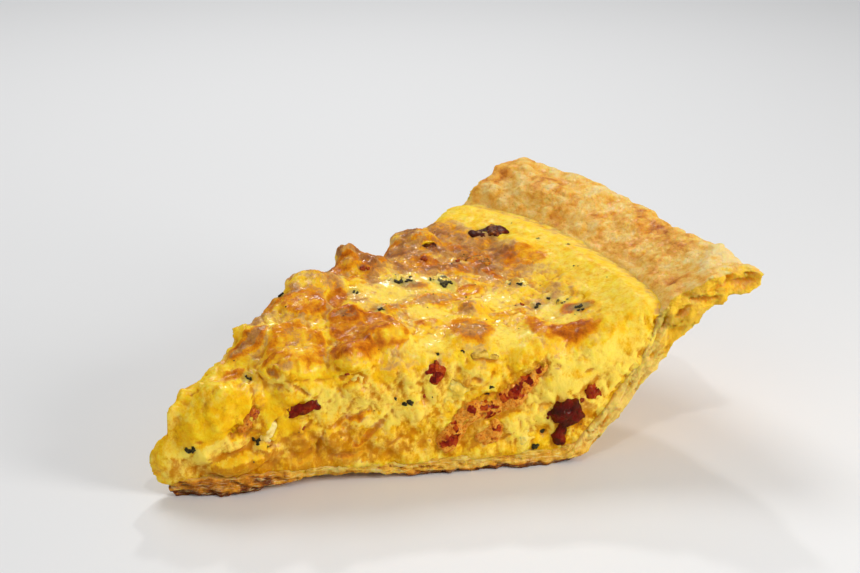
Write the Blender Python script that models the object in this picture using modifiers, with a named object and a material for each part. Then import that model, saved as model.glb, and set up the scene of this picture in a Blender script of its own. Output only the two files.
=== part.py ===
"""One slice of a bacon and blue cheese quiche, an eighth of a 23 cm pie, standing on its flat base.

The pastry case is turned, cut by two knife planes and roughened. The set custard is a second wedge,
lumpy with curds and browned cheese, trimmed to the inside of the case. Bacon, blue cheese and onion
sit in pockets of the custard where they show at the two cuts and on the top.

Units are metres and +Z is up. While the slice is modelled, the pie's axis is the Z axis, the slice points
along -X and the two cuts lie half the slice angle either side of +X. At the end all of it hangs on one empty,
which puts the middle of the slice's base at the origin.
"""

import math
import random

import bmesh
import bpy
from mathutils import Matrix, Vector, noise

MM = 0.001

# Driving dimensions of the pie
SLICE_ANGLE = math.radians(44)
BASE_RADIUS = 84 * MM
RIM_RADIUS = 122 * MM
RIM_HEIGHT = 40 * MM
BASE_THICKNESS = 3.7 * MM
RIM_RISE = 3.2 * MM
GAP = 0.3 * MM

# How finely the solids are modelled
TURN_STEPS = 120
PASTRY_VOXEL = 1.0 * MM
CUSTARD_VOXEL = 0.9 * MM
PIECE_VOXEL = 0.42 * MM
PASTRY_TRIANGLES = 3700
CUSTARD_TRIANGLES = 3700

# The custard's top: its height at the near cut and at the far cut, at the tip, mid slice and crust
NEAR_TIP, NEAR_MIDDLE, NEAR_CRUST = 21.5 * MM, 27.3 * MM, 34.8 * MM
FAR_TIP, FAR_MIDDLE, FAR_CRUST = 22.4 * MM, 34.2 * MM, 36.8 * MM
FLAT_TOP = 30 * MM

COLOURS = {
    "pastry": (0.72, 0.43, 0.15, 1),
    "custard": (0.85, 0.58, 0.10, 1),
    "bacon": (0.33, 0.05, 0.02, 1),
    "cheese": (0.68, 0.64, 0.36, 1),
    "onion": (0.80, 0.56, 0.24, 1),
}
ROUGHNESS = {"pastry": 0.75, "custard": 0.4, "bacon": 0.35, "cheese": 0.45, "onion": 0.35}


def ease(low, high, value):
    """0 below low and 1 above high, eased in between."""
    share = min(1.0, max(0.0, (value - low) / (high - low)))
    return share * share * (3 - 2 * share)


def bell(middle, half_width, value):
    """1 at the middle, falling to 0 a half width away on either side."""
    return 1 - ease(0, half_width, abs(value - middle))


def ripple(point, size, seed=0.0):
    """Smooth noise from about -1 to 1, with features of the size given."""
    return noise.noise(point / size + Vector((seed, seed * 0.7, -seed)))


def curds(point, size, seed=0.0):
    """Rounded lumps with creases between them, from 0 in a crease to 1 on a lump."""
    distances, _ = noise.voronoi(point / size + Vector((seed, -seed, seed * 0.5)))
    return max(0.0, 1 - distances[0] ** 2 * 1.6)


class Cut:
    """One knife cut: along is the way out from the pie's axis, out is the face's outward normal."""

    def __init__(self, angle, side):
        self.along = Vector((math.cos(angle), math.sin(angle), 0))
        self.out = Vector((math.sin(angle), -math.cos(angle), 0)) * side

    def reach(self, point):
        return point.dot(self.along)

    def depth(self, point):
        """How far the point lies inside the slice from this cut."""
        return -point.dot(self.out)

    def at(self, reach, height, depth):
        return self.along * reach - self.out * depth + Vector((0, 0, height))


NEAR = Cut(-SLICE_ANGLE / 2, 1)
FAR = Cut(SLICE_ANGLE / 2, -1)


def collection(name):
    made = bpy.data.collections.new(name)
    bpy.context.scene.collection.children.link(made)
    return made


def add_object(name, mesh, where):
    made = bpy.data.objects.new(name, mesh)
    where.objects.link(made)
    return made


def mesh_from(name, shape):
    mesh = bpy.data.meshes.new(name)
    shape.to_mesh(mesh)
    shape.free()
    return mesh


def finished(obj):
    """Puts the mesh that the object's modifiers make in its place, and drops the modifiers."""
    bpy.context.view_layer.update()
    graph = bpy.context.evaluated_depsgraph_get()
    made = bpy.data.meshes.new_from_object(obj.evaluated_get(graph))
    obj.modifiers.clear()
    obj.data = made
    return obj


def turned(name, profile, where):
    """A profile of radius and height, in millimetres from the axis round to the axis, turned once."""
    shape = bmesh.new()
    corners = [shape.verts.new((radius * MM, 0, height * MM)) for radius, height in profile]
    for first, second in zip(corners, corners[1:]):
        shape.edges.new((first, second))
    made = add_object(name, mesh_from(name, shape), where)
    screw = made.modifiers.new("turn", "SCREW")
    screw.steps = screw.render_steps = TURN_STEPS
    screw.use_merge_vertices = True
    screw.merge_threshold = 0.0001
    finished(made)
    shape = bmesh.new()
    shape.from_mesh(made.data)
    bmesh.ops.recalc_face_normals(shape, faces=shape.faces)
    shape.to_mesh(made.data)
    shape.free()
    return made


def hide(obj):
    obj.hide_render = True
    obj.display_type = "WIRE"
    return obj


def boolean(obj, other, operation):
    change = obj.modifiers.new(operation.lower(), "BOOLEAN")
    change.operation = operation
    change.solver = "EXACT"
    if isinstance(other, bpy.types.Collection):
        change.operand_type = "COLLECTION"
        change.collection = other
    else:
        change.object = other
    finished(obj)


def knife_box(cut, where):
    """A block whose face lies in the cut's plane, which takes off all that is outside the slice."""
    side = 4 * RIM_RADIUS
    shape = bmesh.new()
    bmesh.ops.create_cube(shape, size=side)
    made = add_object("knife", mesh_from("knife", shape), where)
    turn = Matrix((cut.along, cut.out, Vector((0, 0, 1)))).transposed().to_4x4()
    made.matrix_world = Matrix.Translation(cut.out * side / 2) @ turn
    return hide(made)


def remeshed(obj, voxel):
    even = obj.modifiers.new("voxels", "REMESH")
    even.mode = "VOXEL"
    even.voxel_size = voxel
    finished(obj)


def reduced(obj, triangles):
    """Fewer triangles, which stay where the surface is rough."""
    obj.data.calc_loop_triangles()
    fewer = obj.modifiers.new("fewer", "DECIMATE")
    fewer.ratio = triangles / len(obj.data.loop_triangles)
    finished(obj)


def moved(obj, offset):
    """Moves each vertex by offset(its place, its normal)."""
    places = [vertex.co + offset(vertex.co, vertex.normal) for vertex in obj.data.vertices]
    for vertex, place in zip(obj.data.vertices, places):
        vertex.co = place
    obj.data.update()


def relaxed(obj, rounds):
    """Rounds off what stands sharp after the voxels."""
    shape = bmesh.new()
    shape.from_mesh(obj.data)
    for _ in range(rounds):
        bmesh.ops.smooth_vert(
            shape, verts=shape.verts, factor=0.5, use_axis_x=True, use_axis_y=True, use_axis_z=True
        )
    shape.to_mesh(obj.data)
    shape.free()


def largest_body(obj):
    """Drops the loose scraps that a cut leaves, and those that hang on by an edge or a corner only."""
    shape = bmesh.new()
    shape.from_mesh(obj.data)
    bmesh.ops.remove_doubles(shape, verts=shape.verts, dist=0.002 * MM)
    left = set(shape.faces)
    bodies = []
    while left:
        body = [left.pop()]
        for face in body:
            for edge in face.edges:
                if len(edge.link_faces) != 2:
                    continue
                fresh = [other for other in edge.link_faces if other in left]
                left.difference_update(fresh)
                body += fresh
        bodies.append(body)
    bodies.sort(key=len)
    for body in bodies[:-1]:
        bmesh.ops.delete(shape, geom=body, context="FACES")
    shape.to_mesh(obj.data)
    shape.free()


def joined(name, parts, where):
    """One object that holds all the shapes, for a remesh to fuse."""
    shape = bmesh.new()
    for part in parts:
        part.data.transform(part.matrix_world)
        shape.from_mesh(part.data)
        bpy.data.objects.remove(part)
    return add_object(name, mesh_from(name, shape), where)


def lump(place, size, tilt, where):
    """An egg-shaped lump in millimetres, for the custard, in a frame made by face_frame or top_frame."""
    shape = bmesh.new()
    bmesh.ops.create_icosphere(shape, subdivisions=2, radius=0.5)
    made = add_object("lump", mesh_from("lump", shape), where)
    scale = Matrix.Diagonal((size[0] * MM, size[1] * MM, size[2] * MM, 1))
    made.matrix_world = place @ Matrix.Rotation(math.radians(-tilt), 4, "Y") @ scale
    return made


def face_frame(cut, reach, height, depth):
    """A frame on a cut: X runs along the cut, Y into the slice and Z up. Millimetres."""
    turn = Matrix((cut.along, -cut.out, Vector((0, 0, 1)))).transposed().to_4x4()
    return Matrix.Translation(cut.at(reach * MM, height * MM, depth * MM)) @ turn


def top_height(point):
    """Height of the custard's baked top above this point."""
    radius = point.to_2d().length
    angle = math.atan2(point.y, max(point.x, 1e-6))
    across = min(1.0, max(0.0, 0.5 + angle / SLICE_ANGLE))
    near = NEAR_TIP + (NEAR_MIDDLE - NEAR_TIP) * ease(0, 50 * MM, radius)
    near += (NEAR_CRUST - NEAR_MIDDLE) * ease(78 * MM, 103 * MM, radius)
    far = FAR_TIP + (FAR_MIDDLE - FAR_TIP) * ease(2 * MM, 40 * MM, radius)
    far += (FAR_CRUST - FAR_MIDDLE) * ease(80 * MM, 103 * MM, radius)
    return near + (far - near) * ease(0, 1, across)


def top_frame(radius, degrees, sink):
    """A frame on the top: X runs out from the axis, Y down into the custard. Degrees count from the near cut."""
    angle = math.radians(degrees) - SLICE_ANGLE / 2
    out = Vector((math.cos(angle), math.sin(angle), 0))
    place = out * radius * MM
    place.z = top_height(place) - sink * MM
    down = Vector((0, 0, -1))
    turn = Matrix((out, down, out.cross(down))).transposed().to_4x4()
    return Matrix.Translation(place) @ turn


# Pastry case

PASTRY_OUTSIDE = [
    (0, 0), (83.2, 0), (84.8, 0.9), (87, 3.4), (92.3, 8.8), (97.4, 15.6), (102, 21.4), (104.7, 25.8),
    (107.6, 27.4), (110.4, 29.4), (110.4, 31.8), (113.4, 32.6), (115.4, 35.0), (119.4, 34.6), (122, 36.4),
    (121.8, 38.8), (119, 40), (113, 39.4), (108, 37.4), (104.6, 35.4), (102, 34.2), (0, 34.2),
]
PASTRY_INSIDE = [
    (0, 3.7), (80, 3.7), (83.5, 4.7), (85.9, 7.3), (89.8, 12.2), (93.6, 17.2), (96.8, 22), (98.8, 26.2),
    (100, 30), (101.6, 33), (103.8, 35.4), (107, 40), (110, 48), (0, 48),
]


def rim_change(point):
    """The rim rises towards the far cut and its edge wanders in and out."""
    radius = point.to_2d().length
    if radius < 90 * MM:
        return Vector()
    out = point.to_2d().normalized().to_3d()
    across = 0.5 + math.atan2(point.y, point.x) / SLICE_ANGLE
    rise = RIM_RISE * ease(0.45, 0.95, across) - 1.2 * MM * bell(0.38, 0.35, across)
    wander = 1.3 * MM * ripple(out * 0.11, 14 * MM, 3.0) + 0.8 * MM * ripple(out * 0.11, 5 * MM, 8.0)
    height = Vector((0, 0, rise * ease(95 * MM, 112 * MM, radius)))
    return height + out * wander * ease(106 * MM, 120 * MM, radius)


def pastry_crags(point, normal):
    """Blisters on the rim, flaky layers at the cuts, a rim shrunk back at the far cut and a lifted base edge."""
    radius = point.to_2d().length
    change = rim_change(point)
    on_rim = ease(98 * MM, 108 * MM, radius)
    facing_up = max(0.0, normal.z)
    blister = 1.1 * curds(point, 7.5 * MM, 2.0) + 0.5 * ripple(point, 4 * MM, 5.0) - 0.5
    change += normal * blister * MM * on_rim * (0.25 + 0.75 * facing_up)
    change += normal * 0.25 * MM * ripple(point, 9 * MM, 1.0) * (1 - on_rim) * ease(1 * MM, 6 * MM, point.z)
    layers = Vector((radius * 0.35, point.y * 0.2, point.z - 0.25 * radius * on_rim))
    for cut in (NEAR, FAR):
        at_cut = 1 - ease(0.4 * MM, 4 * MM, cut.depth(point))
        flakes = ripple(layers, 1.9 * MM, 4.0 + cut.out.y) * (0.5 + 0.9 * on_rim)
        flakes += ripple(point, 6 * MM, 6.0) * (0.5 + 0.6 * on_rim)
        change += cut.out * flakes * MM * at_cut
    shrink = 5.2 * MM * ease(98 * MM, 120 * MM, radius) * (1 - ease(0, 14 * MM, FAR.depth(point)))
    change -= FAR.out * shrink
    bulge = 2 * MM * bell(13 * MM, 16 * MM, NEAR.reach(point)) * (1 - ease(0, 6 * MM, NEAR.depth(point)))
    change += NEAR.out * bulge
    lift = 1.5 * MM * bell(33 * MM, 22 * MM, NEAR.reach(point)) + 0.9 * MM * bell(70 * MM, 14 * MM, FAR.reach(point))
    near_edge = 1 - ease(0, 11 * MM, min(NEAR.depth(point), FAR.depth(point)))
    change.z += lift * near_edge * (1 - ease(0, 4 * MM, point.z))
    crumbs = max(0.0, ripple(point, 3.1 * MM, 11.0)) * 1.3 * MM
    edge = 1 - ease(0, 2.5 * MM, min(NEAR.depth(point), FAR.depth(point)))
    change.z += crumbs * edge * (1 - ease(0, 1.5 * MM, point.z))
    return change


def flatten_base(case):
    """Brings the underside to one plane, but for the lifted edges."""
    for vertex in case.data.vertices:
        if vertex.co.z < 0.35 * MM:
            vertex.co.z = 0


def pastry_case(knives, case_inside, where):
    """The flaky case: a flat base, a leaning wall and a wide rim that turns over the dish's lip."""
    case = turned("pastry_case", PASTRY_OUTSIDE, where)
    for knife in knives:
        boolean(case, knife, "DIFFERENCE")
    remeshed(case, PASTRY_VOXEL)
    relaxed(case, 1)
    moved(case, pastry_crags)
    flatten_base(case)
    reduced(case, PASTRY_TRIANGLES)
    boolean(case, case_inside, "DIFFERENCE")
    largest_body(case)
    flatten_base(case)
    return case


# Set custard

# Lumps that stand out of the near cut: reach, height, depth of the middle, size along, deep and up, tilt
NEAR_LUMPS = [
    (9.6, 16.2, 1.0, 19, 7, 11.5, 40), (1.4, 7.4, 1.4, 9, 6, 11, 20), (9, 9.6, 0.8, 12, 6, 6, 12),
    (14.5, 6.6, 0.2, 13, 6, 5, 6), (19.6, 8.4, 0.6, 6, 5, 6, 30), (26, 21.6, 1.4, 13, 5, 5, 8),
    (39, 20.6, 1.5, 12, 5.5, 6, -6), (35, 8.4, 1.2, 12, 4.5, 5, -3), (46, 9.6, 1.3, 10, 4.5, 5, 40),
    (50, 14.4, 1.4, 11, 5, 8, -35), (47, 23.2, 1.6, 10, 5, 5, -10), (62.5, 21.4, 1.4, 8, 4.5, 6, 25),
    (75.5, 24, 1.8, 14, 6.5, 8, 8), (69, 9.6, 1.2, 10, 4, 6, 30), (88, 24.4, 1.6, 12, 6, 8, 30),
    (92, 20.8, 1.6, 7, 5, 5, 40), (33, 13.6, 1.8, 9, 5, 6, 25), (64, 5.6, 1.0, 9, 4, 3.6, 5),
]
FAR_LUMPS = [
    (10, 14.6, 1.4, 14, 6, 9, 30), (22, 9, 1.2, 13, 5, 8, -12), (34, 23, 1.6, 15, 6, 9, -10),
    (47, 12, 1.2, 12, 5, 8, 30), (60, 25, 1.6, 13, 5.5, 8, 10), (68, 13, 1.4, 11, 5, 8, -25),
    (82, 24, 1.6, 14, 6, 9, 15), (88, 15, 1.6, 8, 5, 6, 40),
]
# Browned lumps on the top: radius, degrees from the near cut, sink of the middle, size out, down and across, tilt
TOP_LUMPS = [
    (26, 8.5, 0.4, 14, 6, 10, 20), (38.5, 3.5, 0.6, 10, 5, 7, 50), (46, 10, 0.5, 11, 5.5, 8, -10),
    (63, 5, 0.7, 13, 4, 6, 10), (82, 4.5, 0.9, 18, 4, 9, 12), (43, 38.5, 0.7, 13, 5, 7, -40),
    (25, 32, 0.8, 14, 4, 7, -50), (44, 24, 0.9, 10, 4, 7, 30), (57, 38, 0.2, 12, 5, 9, -10),
    (68, 15, 0.4, 8, 5, 6, 60), (77, 40, 0.2, 13, 5, 9, -80), (93, 28, 1.0, 13, 3.6, 9, 30),
    (90, 13, 1.1, 12, 4, 8, -50),
]
# A knob that stands on the far edge of the top, and the bite-like notch beside it
EDGE_KNOB = (56, 41.5, -0.4, 6, 8, 5, 20)
NOTCH_REACH, NOTCH_WIDTH, NOTCH_DEPTH = 66 * MM, 8 * MM, 5.4 * MM


def custard_heights(point, _normal):
    """Slopes the flat blank's top, and blunts the wedge's edges."""
    change = Vector((0, 0, point.z * (top_height(point) / FLAT_TOP - 1)))
    below_top = FLAT_TOP - point.z
    for cut in (NEAR, FAR):
        edge = (1 - ease(0, 4 * MM, cut.depth(point))) * (1 - ease(0, 4.5 * MM, below_top))
        change -= (cut.out + Vector((0, 0, 1))) * edge * 1.1 * MM
    change.z -= NOTCH_DEPTH * bell(NOTCH_REACH, NOTCH_WIDTH, FAR.reach(point)) * (
        1 - ease(0, 9 * MM, FAR.depth(point))
    ) * (1 - ease(0, 12 * MM, below_top))
    return change


def custard_crags(point, normal):
    """Curds at the cuts and an uneven baked skin on top."""
    change = Vector()
    for cut, seed in ((NEAR, 1.0), (FAR, 7.0)):
        at_cut = (1 - ease(0.5 * MM, 4 * MM, cut.depth(point))) * ease(1 * MM, 7 * MM, cut.reach(point))
        facing = max(0.0, normal.dot(cut.out))
        rough = 0.75 * curds(point, 5.2 * MM, seed) + 0.35 * curds(point, 2.6 * MM, seed + 3)
        rough += 0.55 * ripple(point, 3.4 * MM, seed + 5) - 0.55
        change += cut.out * rough * MM * at_cut * facing
    skin = 0.7 * curds(point, 6.5 * MM, 9.0) + 0.5 * ripple(point, 3.6 * MM, 2.0) - 0.35
    calm = 1 - 0.75 * ease(84 * MM, 96 * MM, point.to_2d().length)
    change.z += skin * MM * calm * ease(0.2, 0.8, normal.z)
    return change


def loose_curds(cut, seed, where):
    """Small curds in a seeded scatter over a cut, which stand out of it by half a millimetre or so."""
    draw = random.Random(seed)
    made = []
    for step in range(24):
        reach = 6 + 3.8 * step + draw.uniform(-1.2, 1.2)
        height = draw.uniform(5.5, 21)
        size = draw.uniform(3.2, 6.2)
        place = face_frame(cut, reach, height, size * 0.24)
        shape = (size * draw.uniform(1, 1.5), size * 0.8, size * draw.uniform(0.7, 1))
        made.append(lump(place, shape, draw.uniform(-40, 60), where))
    return made


def custard(knives, filling_space, where):
    """The set filling: a lumpy wedge, trimmed to the inside of the case."""
    shape = bmesh.new()
    depth = FLAT_TOP - BASE_THICKNESS / 2
    bmesh.ops.create_cone(
        shape, cap_ends=True, segments=TURN_STEPS, radius1=112 * MM, radius2=112 * MM, depth=depth
    )
    bmesh.ops.translate(shape, verts=shape.verts, vec=(0, 0, FLAT_TOP - depth / 2))
    wedge = add_object("wedge", mesh_from("wedge", shape), where)
    for knife in knives:
        boolean(wedge, knife, "DIFFERENCE")
    remeshed(wedge, 1.2 * MM)
    moved(wedge, custard_heights)
    parts = [wedge]
    for cut, rows in ((NEAR, NEAR_LUMPS), (FAR, FAR_LUMPS)):
        parts += [lump(face_frame(cut, *row[:3]), row[3:6], row[6], where) for row in rows]
    parts += [lump(top_frame(*row[:3]), row[3:6], row[6], where) for row in [*TOP_LUMPS, EDGE_KNOB]]
    parts += loose_curds(NEAR, 5, where) + loose_curds(FAR, 8, where)
    bpy.context.view_layer.update()
    made = joined("custard", parts, where)
    remeshed(made, CUSTARD_VOXEL)
    relaxed(made, 1)
    moved(made, custard_crags)
    reduced(made, CUSTARD_TRIANGLES)
    boolean(made, filling_space, "INTERSECT")
    return made


# Bacon, blue cheese and onion

# Each piece is one or more crumbs run together, at (reach, height, depth of the middle), then the size along,
# deep and up, then the tilt
NEAR_PIECES = {
    "bacon_tip": [(14.4, 14.2, 0.8, 4.6, 4, 2.6, 24), (17.2, 16.4, 0.9, 3.6, 3.6, 2.6, 48)],
    "bacon_left": [(25.8, 16.6, 1, 3.6, 4, 2.9, 20), (28.8, 17.2, 1, 4, 4, 2.3, 10)],
    "bacon_ruby": [(53.9, 22, 1.1, 3.8, 4, 4.4, -30)],
    "bacon_strip": [
        (57.8, 9.2, 1.2, 8.6, 4.6, 3.6, 58), (61.4, 12.8, 1.2, 5, 4.4, 4, 30), (65.3, 13.6, 1.1, 4.6, 4.4, 3.4, 0),
        (69.8, 15.8, 1.1, 5, 4.6, 4.6, 40), (72.6, 18.6, 1.2, 4.4, 4.2, 3.4, 45), (75.6, 21.6, 1.4, 4.4, 4.2, 2.6, 50),
    ],
    "bacon_flesh": [(65.6, 8.2, 1.1, 5.8, 4.4, 3.6, 36)],
    "bacon_burgundy": [
        (81.4, 11.8, 0.9, 6, 6, 5.4, 30), (78.6, 12.2, 1.1, 3, 4, 2.4, -20), (80, 6.6, 0.9, 2.2, 4, 4.6, -8),
    ],
    "bacon_wall": [(86.8, 15.4, 1, 3.6, 4, 4, 30)],
    "onion_tip": [(20.4, 12, 0.7, 2.8, 4, 5.8, -18)],
    "onion_curl": [(65.6, 24.8, 1.2, 4.4, 3.4, 1.6, -18), (62.8, 25, 1.2, 3.4, 3.4, 1.4, 14)],
    "cheese_mid": [(59.2, 18.4, 1.2, 4.6, 4.4, 3.4, -24), (57.2, 16.6, 1.3, 2.6, 4, 3, 10)],
    "cheese_foot": [(73, 6.4, 1, 3.8, 4, 3.4, 0)],
    "cheese_crust": [(77.8, 15.4, 1, 3.2, 4, 3, 20)],
    "cheese_left": [(38.8, 22.2, 1.2, 4.4, 4, 2.8, -6)],
}
FAR_PIECES = {
    "bacon_far_tip": [(17, 12.6, 0.9, 5.6, 4, 2.8, 30)],
    "bacon_far_middle": [(39.4, 16.4, 1.1, 5.6, 4.6, 3, 24), (43, 18.8, 1.1, 4.4, 4.4, 3, 50)],
    "bacon_far_crust": [(74, 17.6, 1.1, 6, 4.6, 4, 40)],
    "cheese_far_tip": [(30, 11.6, 1, 4.6, 4, 4, 12)],
    "cheese_far_crust": [(62, 21.4, 1.1, 5, 4.4, 4, -18)],
}
# The same on the top, at (radius, degrees from the near cut, sink of the middle)
TOP_PIECES = {
    "bacon_top_crust": [(92, 32.4, 0.7, 5.6, 3.4, 4, 76), (88.8, 34, 0.7, 4, 3, 3.4, 60)],
    "bacon_top_edge": [(77, 36.6, 0.7, 4.6, 3, 3, 30)],
    "bacon_top_streak": [(80.6, 28.8, 0.8, 7.4, 3, 3.2, -60)],
    "cheese_top_left": [(59.4, 30, 0.8, 5.6, 3.4, 4.2, 40)],
    "cheese_top_middle": [(68.6, 26, 0.8, 5.2, 3.4, 4, 20)],
    "cheese_top_right": [(82.4, 19.6, 0.8, 5.2, 3.4, 4, -50)],
    "cheese_top_crust": [(87.6, 10, 0.8, 5.6, 3.4, 3.8, -40)],
}
ROUNDNESS = {"bacon": 0.5, "cheese": 0.85, "onion": 0.7}
PIECE_TRIANGLES = 70


def crumb(kind, place, size, tilt, seed, where):
    """A rough bit of food: a box with its edges worn and its faces pitted, in millimetres."""
    shape = bmesh.new()
    bmesh.ops.create_cube(shape, size=1)
    bmesh.ops.subdivide_edges(shape, edges=shape.edges, cuts=5, use_grid_fill=True)
    for vertex in shape.verts:
        vertex.co = vertex.co.lerp(vertex.co.normalized() * 0.56, ROUNDNESS[kind])
        wear = 0.16 * ripple(vertex.co, 0.45, seed) + 0.07 * ripple(vertex.co, 0.2, seed + 2)
        vertex.co += vertex.co.normalized() * wear
        vertex.co = Vector([share * length * MM for share, length in zip(vertex.co, size)])
    made = add_object("crumb", mesh_from("crumb", shape), where)
    made.matrix_world = place @ Matrix.Rotation(math.radians(-tilt), 4, "Y")
    return made


def pocket(piece, where):
    """A cutter a little larger than the piece, so that the custard is clear of it."""
    made = add_object(piece.name + "_pocket", piece.data.copy(), where)
    moved(made, lambda _place, normal: normal * GAP * 1.5)
    return hide(made)


def set_pieces(where):
    """Every piece that shows, each one an object of its own, made of crumbs run together."""
    made = []
    groups = ((NEAR_PIECES, NEAR), (FAR_PIECES, FAR), (TOP_PIECES, None))
    for pieces, cut in groups:
        for name, rows in pieces.items():
            kind = name.split("_")[0]
            seed = len(made) * 1.7
            crumbs = []
            for place_along, place_up, deep, *rest in rows:
                frame = face_frame(cut, place_along, place_up, deep) if cut else top_frame(
                    place_along, place_up, deep
                )
                crumbs.append(crumb(kind, frame, rest[:3], rest[3], seed + len(crumbs), where))
            bpy.context.view_layer.update()
            piece = joined(name, crumbs, where)
            remeshed(piece, PIECE_VOXEL)
            relaxed(piece, 1)
            reduced(piece, PIECE_TRIANGLES + 35 * len(rows))
            made.append(piece)
    return made


def paint(obj, kind):
    material = bpy.data.materials.new(obj.name)
    material.use_nodes = True
    surface = material.node_tree.nodes["Principled BSDF"]
    surface.inputs["Base Color"].default_value = COLOURS[kind]
    surface.inputs["Roughness"].default_value = ROUGHNESS[kind]
    obj.data.materials.clear()
    obj.data.materials.append(material)
    obj.data.shade_smooth()
    obj.data.set_sharp_from_angle(angle=math.radians(50))


def stand_on_base(objects):
    """Hangs the slice on one empty whose place brings the middle of its base to the origin."""
    bpy.context.view_layer.update()
    points = [obj.matrix_world @ vertex.co for obj in objects for vertex in obj.data.vertices]
    lowest = Vector([min(point[axis] for point in points) for axis in range(3)])
    highest = Vector([max(point[axis] for point in points) for axis in range(3)])
    middle = (lowest + highest) / 2
    frame = bpy.data.objects.new("slice_frame", None)
    bpy.context.scene.collection.objects.link(frame)
    for obj in objects:
        obj.parent = frame
    frame.location = (-middle.x, -middle.y, -lowest.z)


def main():
    for obj in list(bpy.data.objects):
        bpy.data.objects.remove(obj)
    parts = collection("bacon_blue_cheese_quiche_slice")
    cutters = collection("cutters")
    pockets = collection("pockets")
    knives = [knife_box(cut, cutters) for cut in (NEAR, FAR)]
    case_inside = hide(turned("case_inside", PASTRY_INSIDE, cutters))
    gap = GAP / MM
    shrunk = [(max(0, radius - 1.2 * gap), height + gap) for radius, height in PASTRY_INSIDE]
    filling_space = hide(turned("filling_space", shrunk, cutters))
    case = pastry_case(knives, case_inside, parts)
    filling = custard(knives, filling_space, parts)
    pieces = set_pieces(parts)
    for piece in pieces:
        pocket(piece, pockets)
    boolean(filling, pockets, "DIFFERENCE")
    largest_body(filling)
    paint(case, "pastry")
    paint(filling, "custard")
    for piece in pieces:
        paint(piece, piece.name.split("_")[0])
    stand_on_base([case, filling, *pieces])


main()
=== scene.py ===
"""Looks of one slice of bacon and blue cheese quiche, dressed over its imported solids. Blender 4.5, metres, +Z up."""

import math
import random

import bmesh
import bpy
import numpy
from mathutils import Matrix, Vector, noise
from mathutils.bvhtree import BVHTree


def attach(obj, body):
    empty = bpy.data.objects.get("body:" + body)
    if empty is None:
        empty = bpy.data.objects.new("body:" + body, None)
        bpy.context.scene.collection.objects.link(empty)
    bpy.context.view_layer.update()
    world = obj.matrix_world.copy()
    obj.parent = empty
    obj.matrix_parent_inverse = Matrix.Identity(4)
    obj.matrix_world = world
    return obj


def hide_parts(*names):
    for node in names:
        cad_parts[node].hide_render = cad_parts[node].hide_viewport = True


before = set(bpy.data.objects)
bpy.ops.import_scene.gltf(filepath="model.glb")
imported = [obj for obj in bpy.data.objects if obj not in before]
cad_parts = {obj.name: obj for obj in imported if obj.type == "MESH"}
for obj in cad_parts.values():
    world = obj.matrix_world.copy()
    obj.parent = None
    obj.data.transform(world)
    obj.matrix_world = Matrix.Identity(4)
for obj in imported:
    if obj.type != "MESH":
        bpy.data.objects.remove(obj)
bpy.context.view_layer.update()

# Pastry case: flaky dough rolled 3 to 4 mm thick, pressed into a fluted dish and turned over its lip, then baked.
# The layers puff apart at the rim and where the knife went through, and the rim blisters and browns.

MM = 0.001
PIE_AXIS = Vector((-59.9 * MM, 2.6 * MM, 0))
HALF_SLICE = math.radians(22)
PASTRY_VOXEL = 0.46 * MM
WALL_LEAN = math.radians(54)
WALL_FOOT = (85, 4)
# The radius at which the wall turns into the rim, and the height at which it bends outwards: where each starts and
# ends, in millimetres
RIM_STARTS = (101, 106)
WALL_BENDS = (28, 33)


def ease(low, high, value):
    """0 below low and 1 above high, eased in between."""
    share = min(1.0, max(0.0, (value - low) / (high - low)))
    return share * share * (3 - 2 * share)


def ripple(point, size, seed=0.0):
    """Smooth noise from about -1 to 1, with features of the size given, in the same units as the point."""
    return noise.noise(point / size + Vector((seed, seed * 0.7, -seed)))


def cells(point, size, seed=0.0):
    """Distance to the middle of the nearest cell, in cell sizes, and a steady random number for that cell."""
    distances, middles = noise.voronoi(point / size + Vector((seed, -seed, seed * 0.5)))
    return distances[0], noise.cell(middles[0] * 7.3)


class Cut:
    """One knife cut, with the way out along it and its outward normal. Its places are in millimetres."""

    def __init__(self, angle, side):
        self.along = Vector((math.cos(angle), math.sin(angle), 0))
        self.out = Vector((math.sin(angle), -math.cos(angle), 0)) * side

    def place(self, reach, height, proud=0):
        """A point in the model, proud of the cut by so much."""
        return PIE_AXIS + (self.along * reach + self.out * proud + Vector((0, 0, height))) * MM

    def read(self, point):
        """Reach from the pie's axis, height, and depth into the slice, of a point in the model."""
        from_axis = (point - PIE_AXIS) / MM
        return from_axis.dot(self.along), point.z / MM, -from_axis.dot(self.out)


NEAR = Cut(-HALF_SLICE, 1)
FAR = Cut(HALF_SLICE, -1)


def polar(point):
    """Radius from the pie's axis in millimetres, and degrees from the near cut."""
    from_axis = (point - PIE_AXIS) / MM
    degrees = math.degrees(math.atan2(from_axis.y, from_axis.x) + HALF_SLICE)
    return math.hypot(from_axis.x, from_axis.y), degrees


def oval(along, up, row, rag=0.0):
    """1 inside a tilted oval and 0 outside. The row is its middle, half length, half height, tilt and edge width."""
    middle_along, middle_up, half_length, half_height, tilt, edge = row
    turn = math.radians(tilt)
    x, y = along - middle_along, up - middle_up
    length = (x * math.cos(turn) + y * math.sin(turn)) / half_length
    height = (y * math.cos(turn) - x * math.sin(turn)) / half_height
    return 1 - ease(1 - edge, 1 + edge, math.hypot(length, height) + rag)


def select_only(obj):
    bpy.ops.object.select_all(action="DESELECT")
    obj.select_set(True)
    bpy.context.view_layer.objects.active = obj


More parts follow.
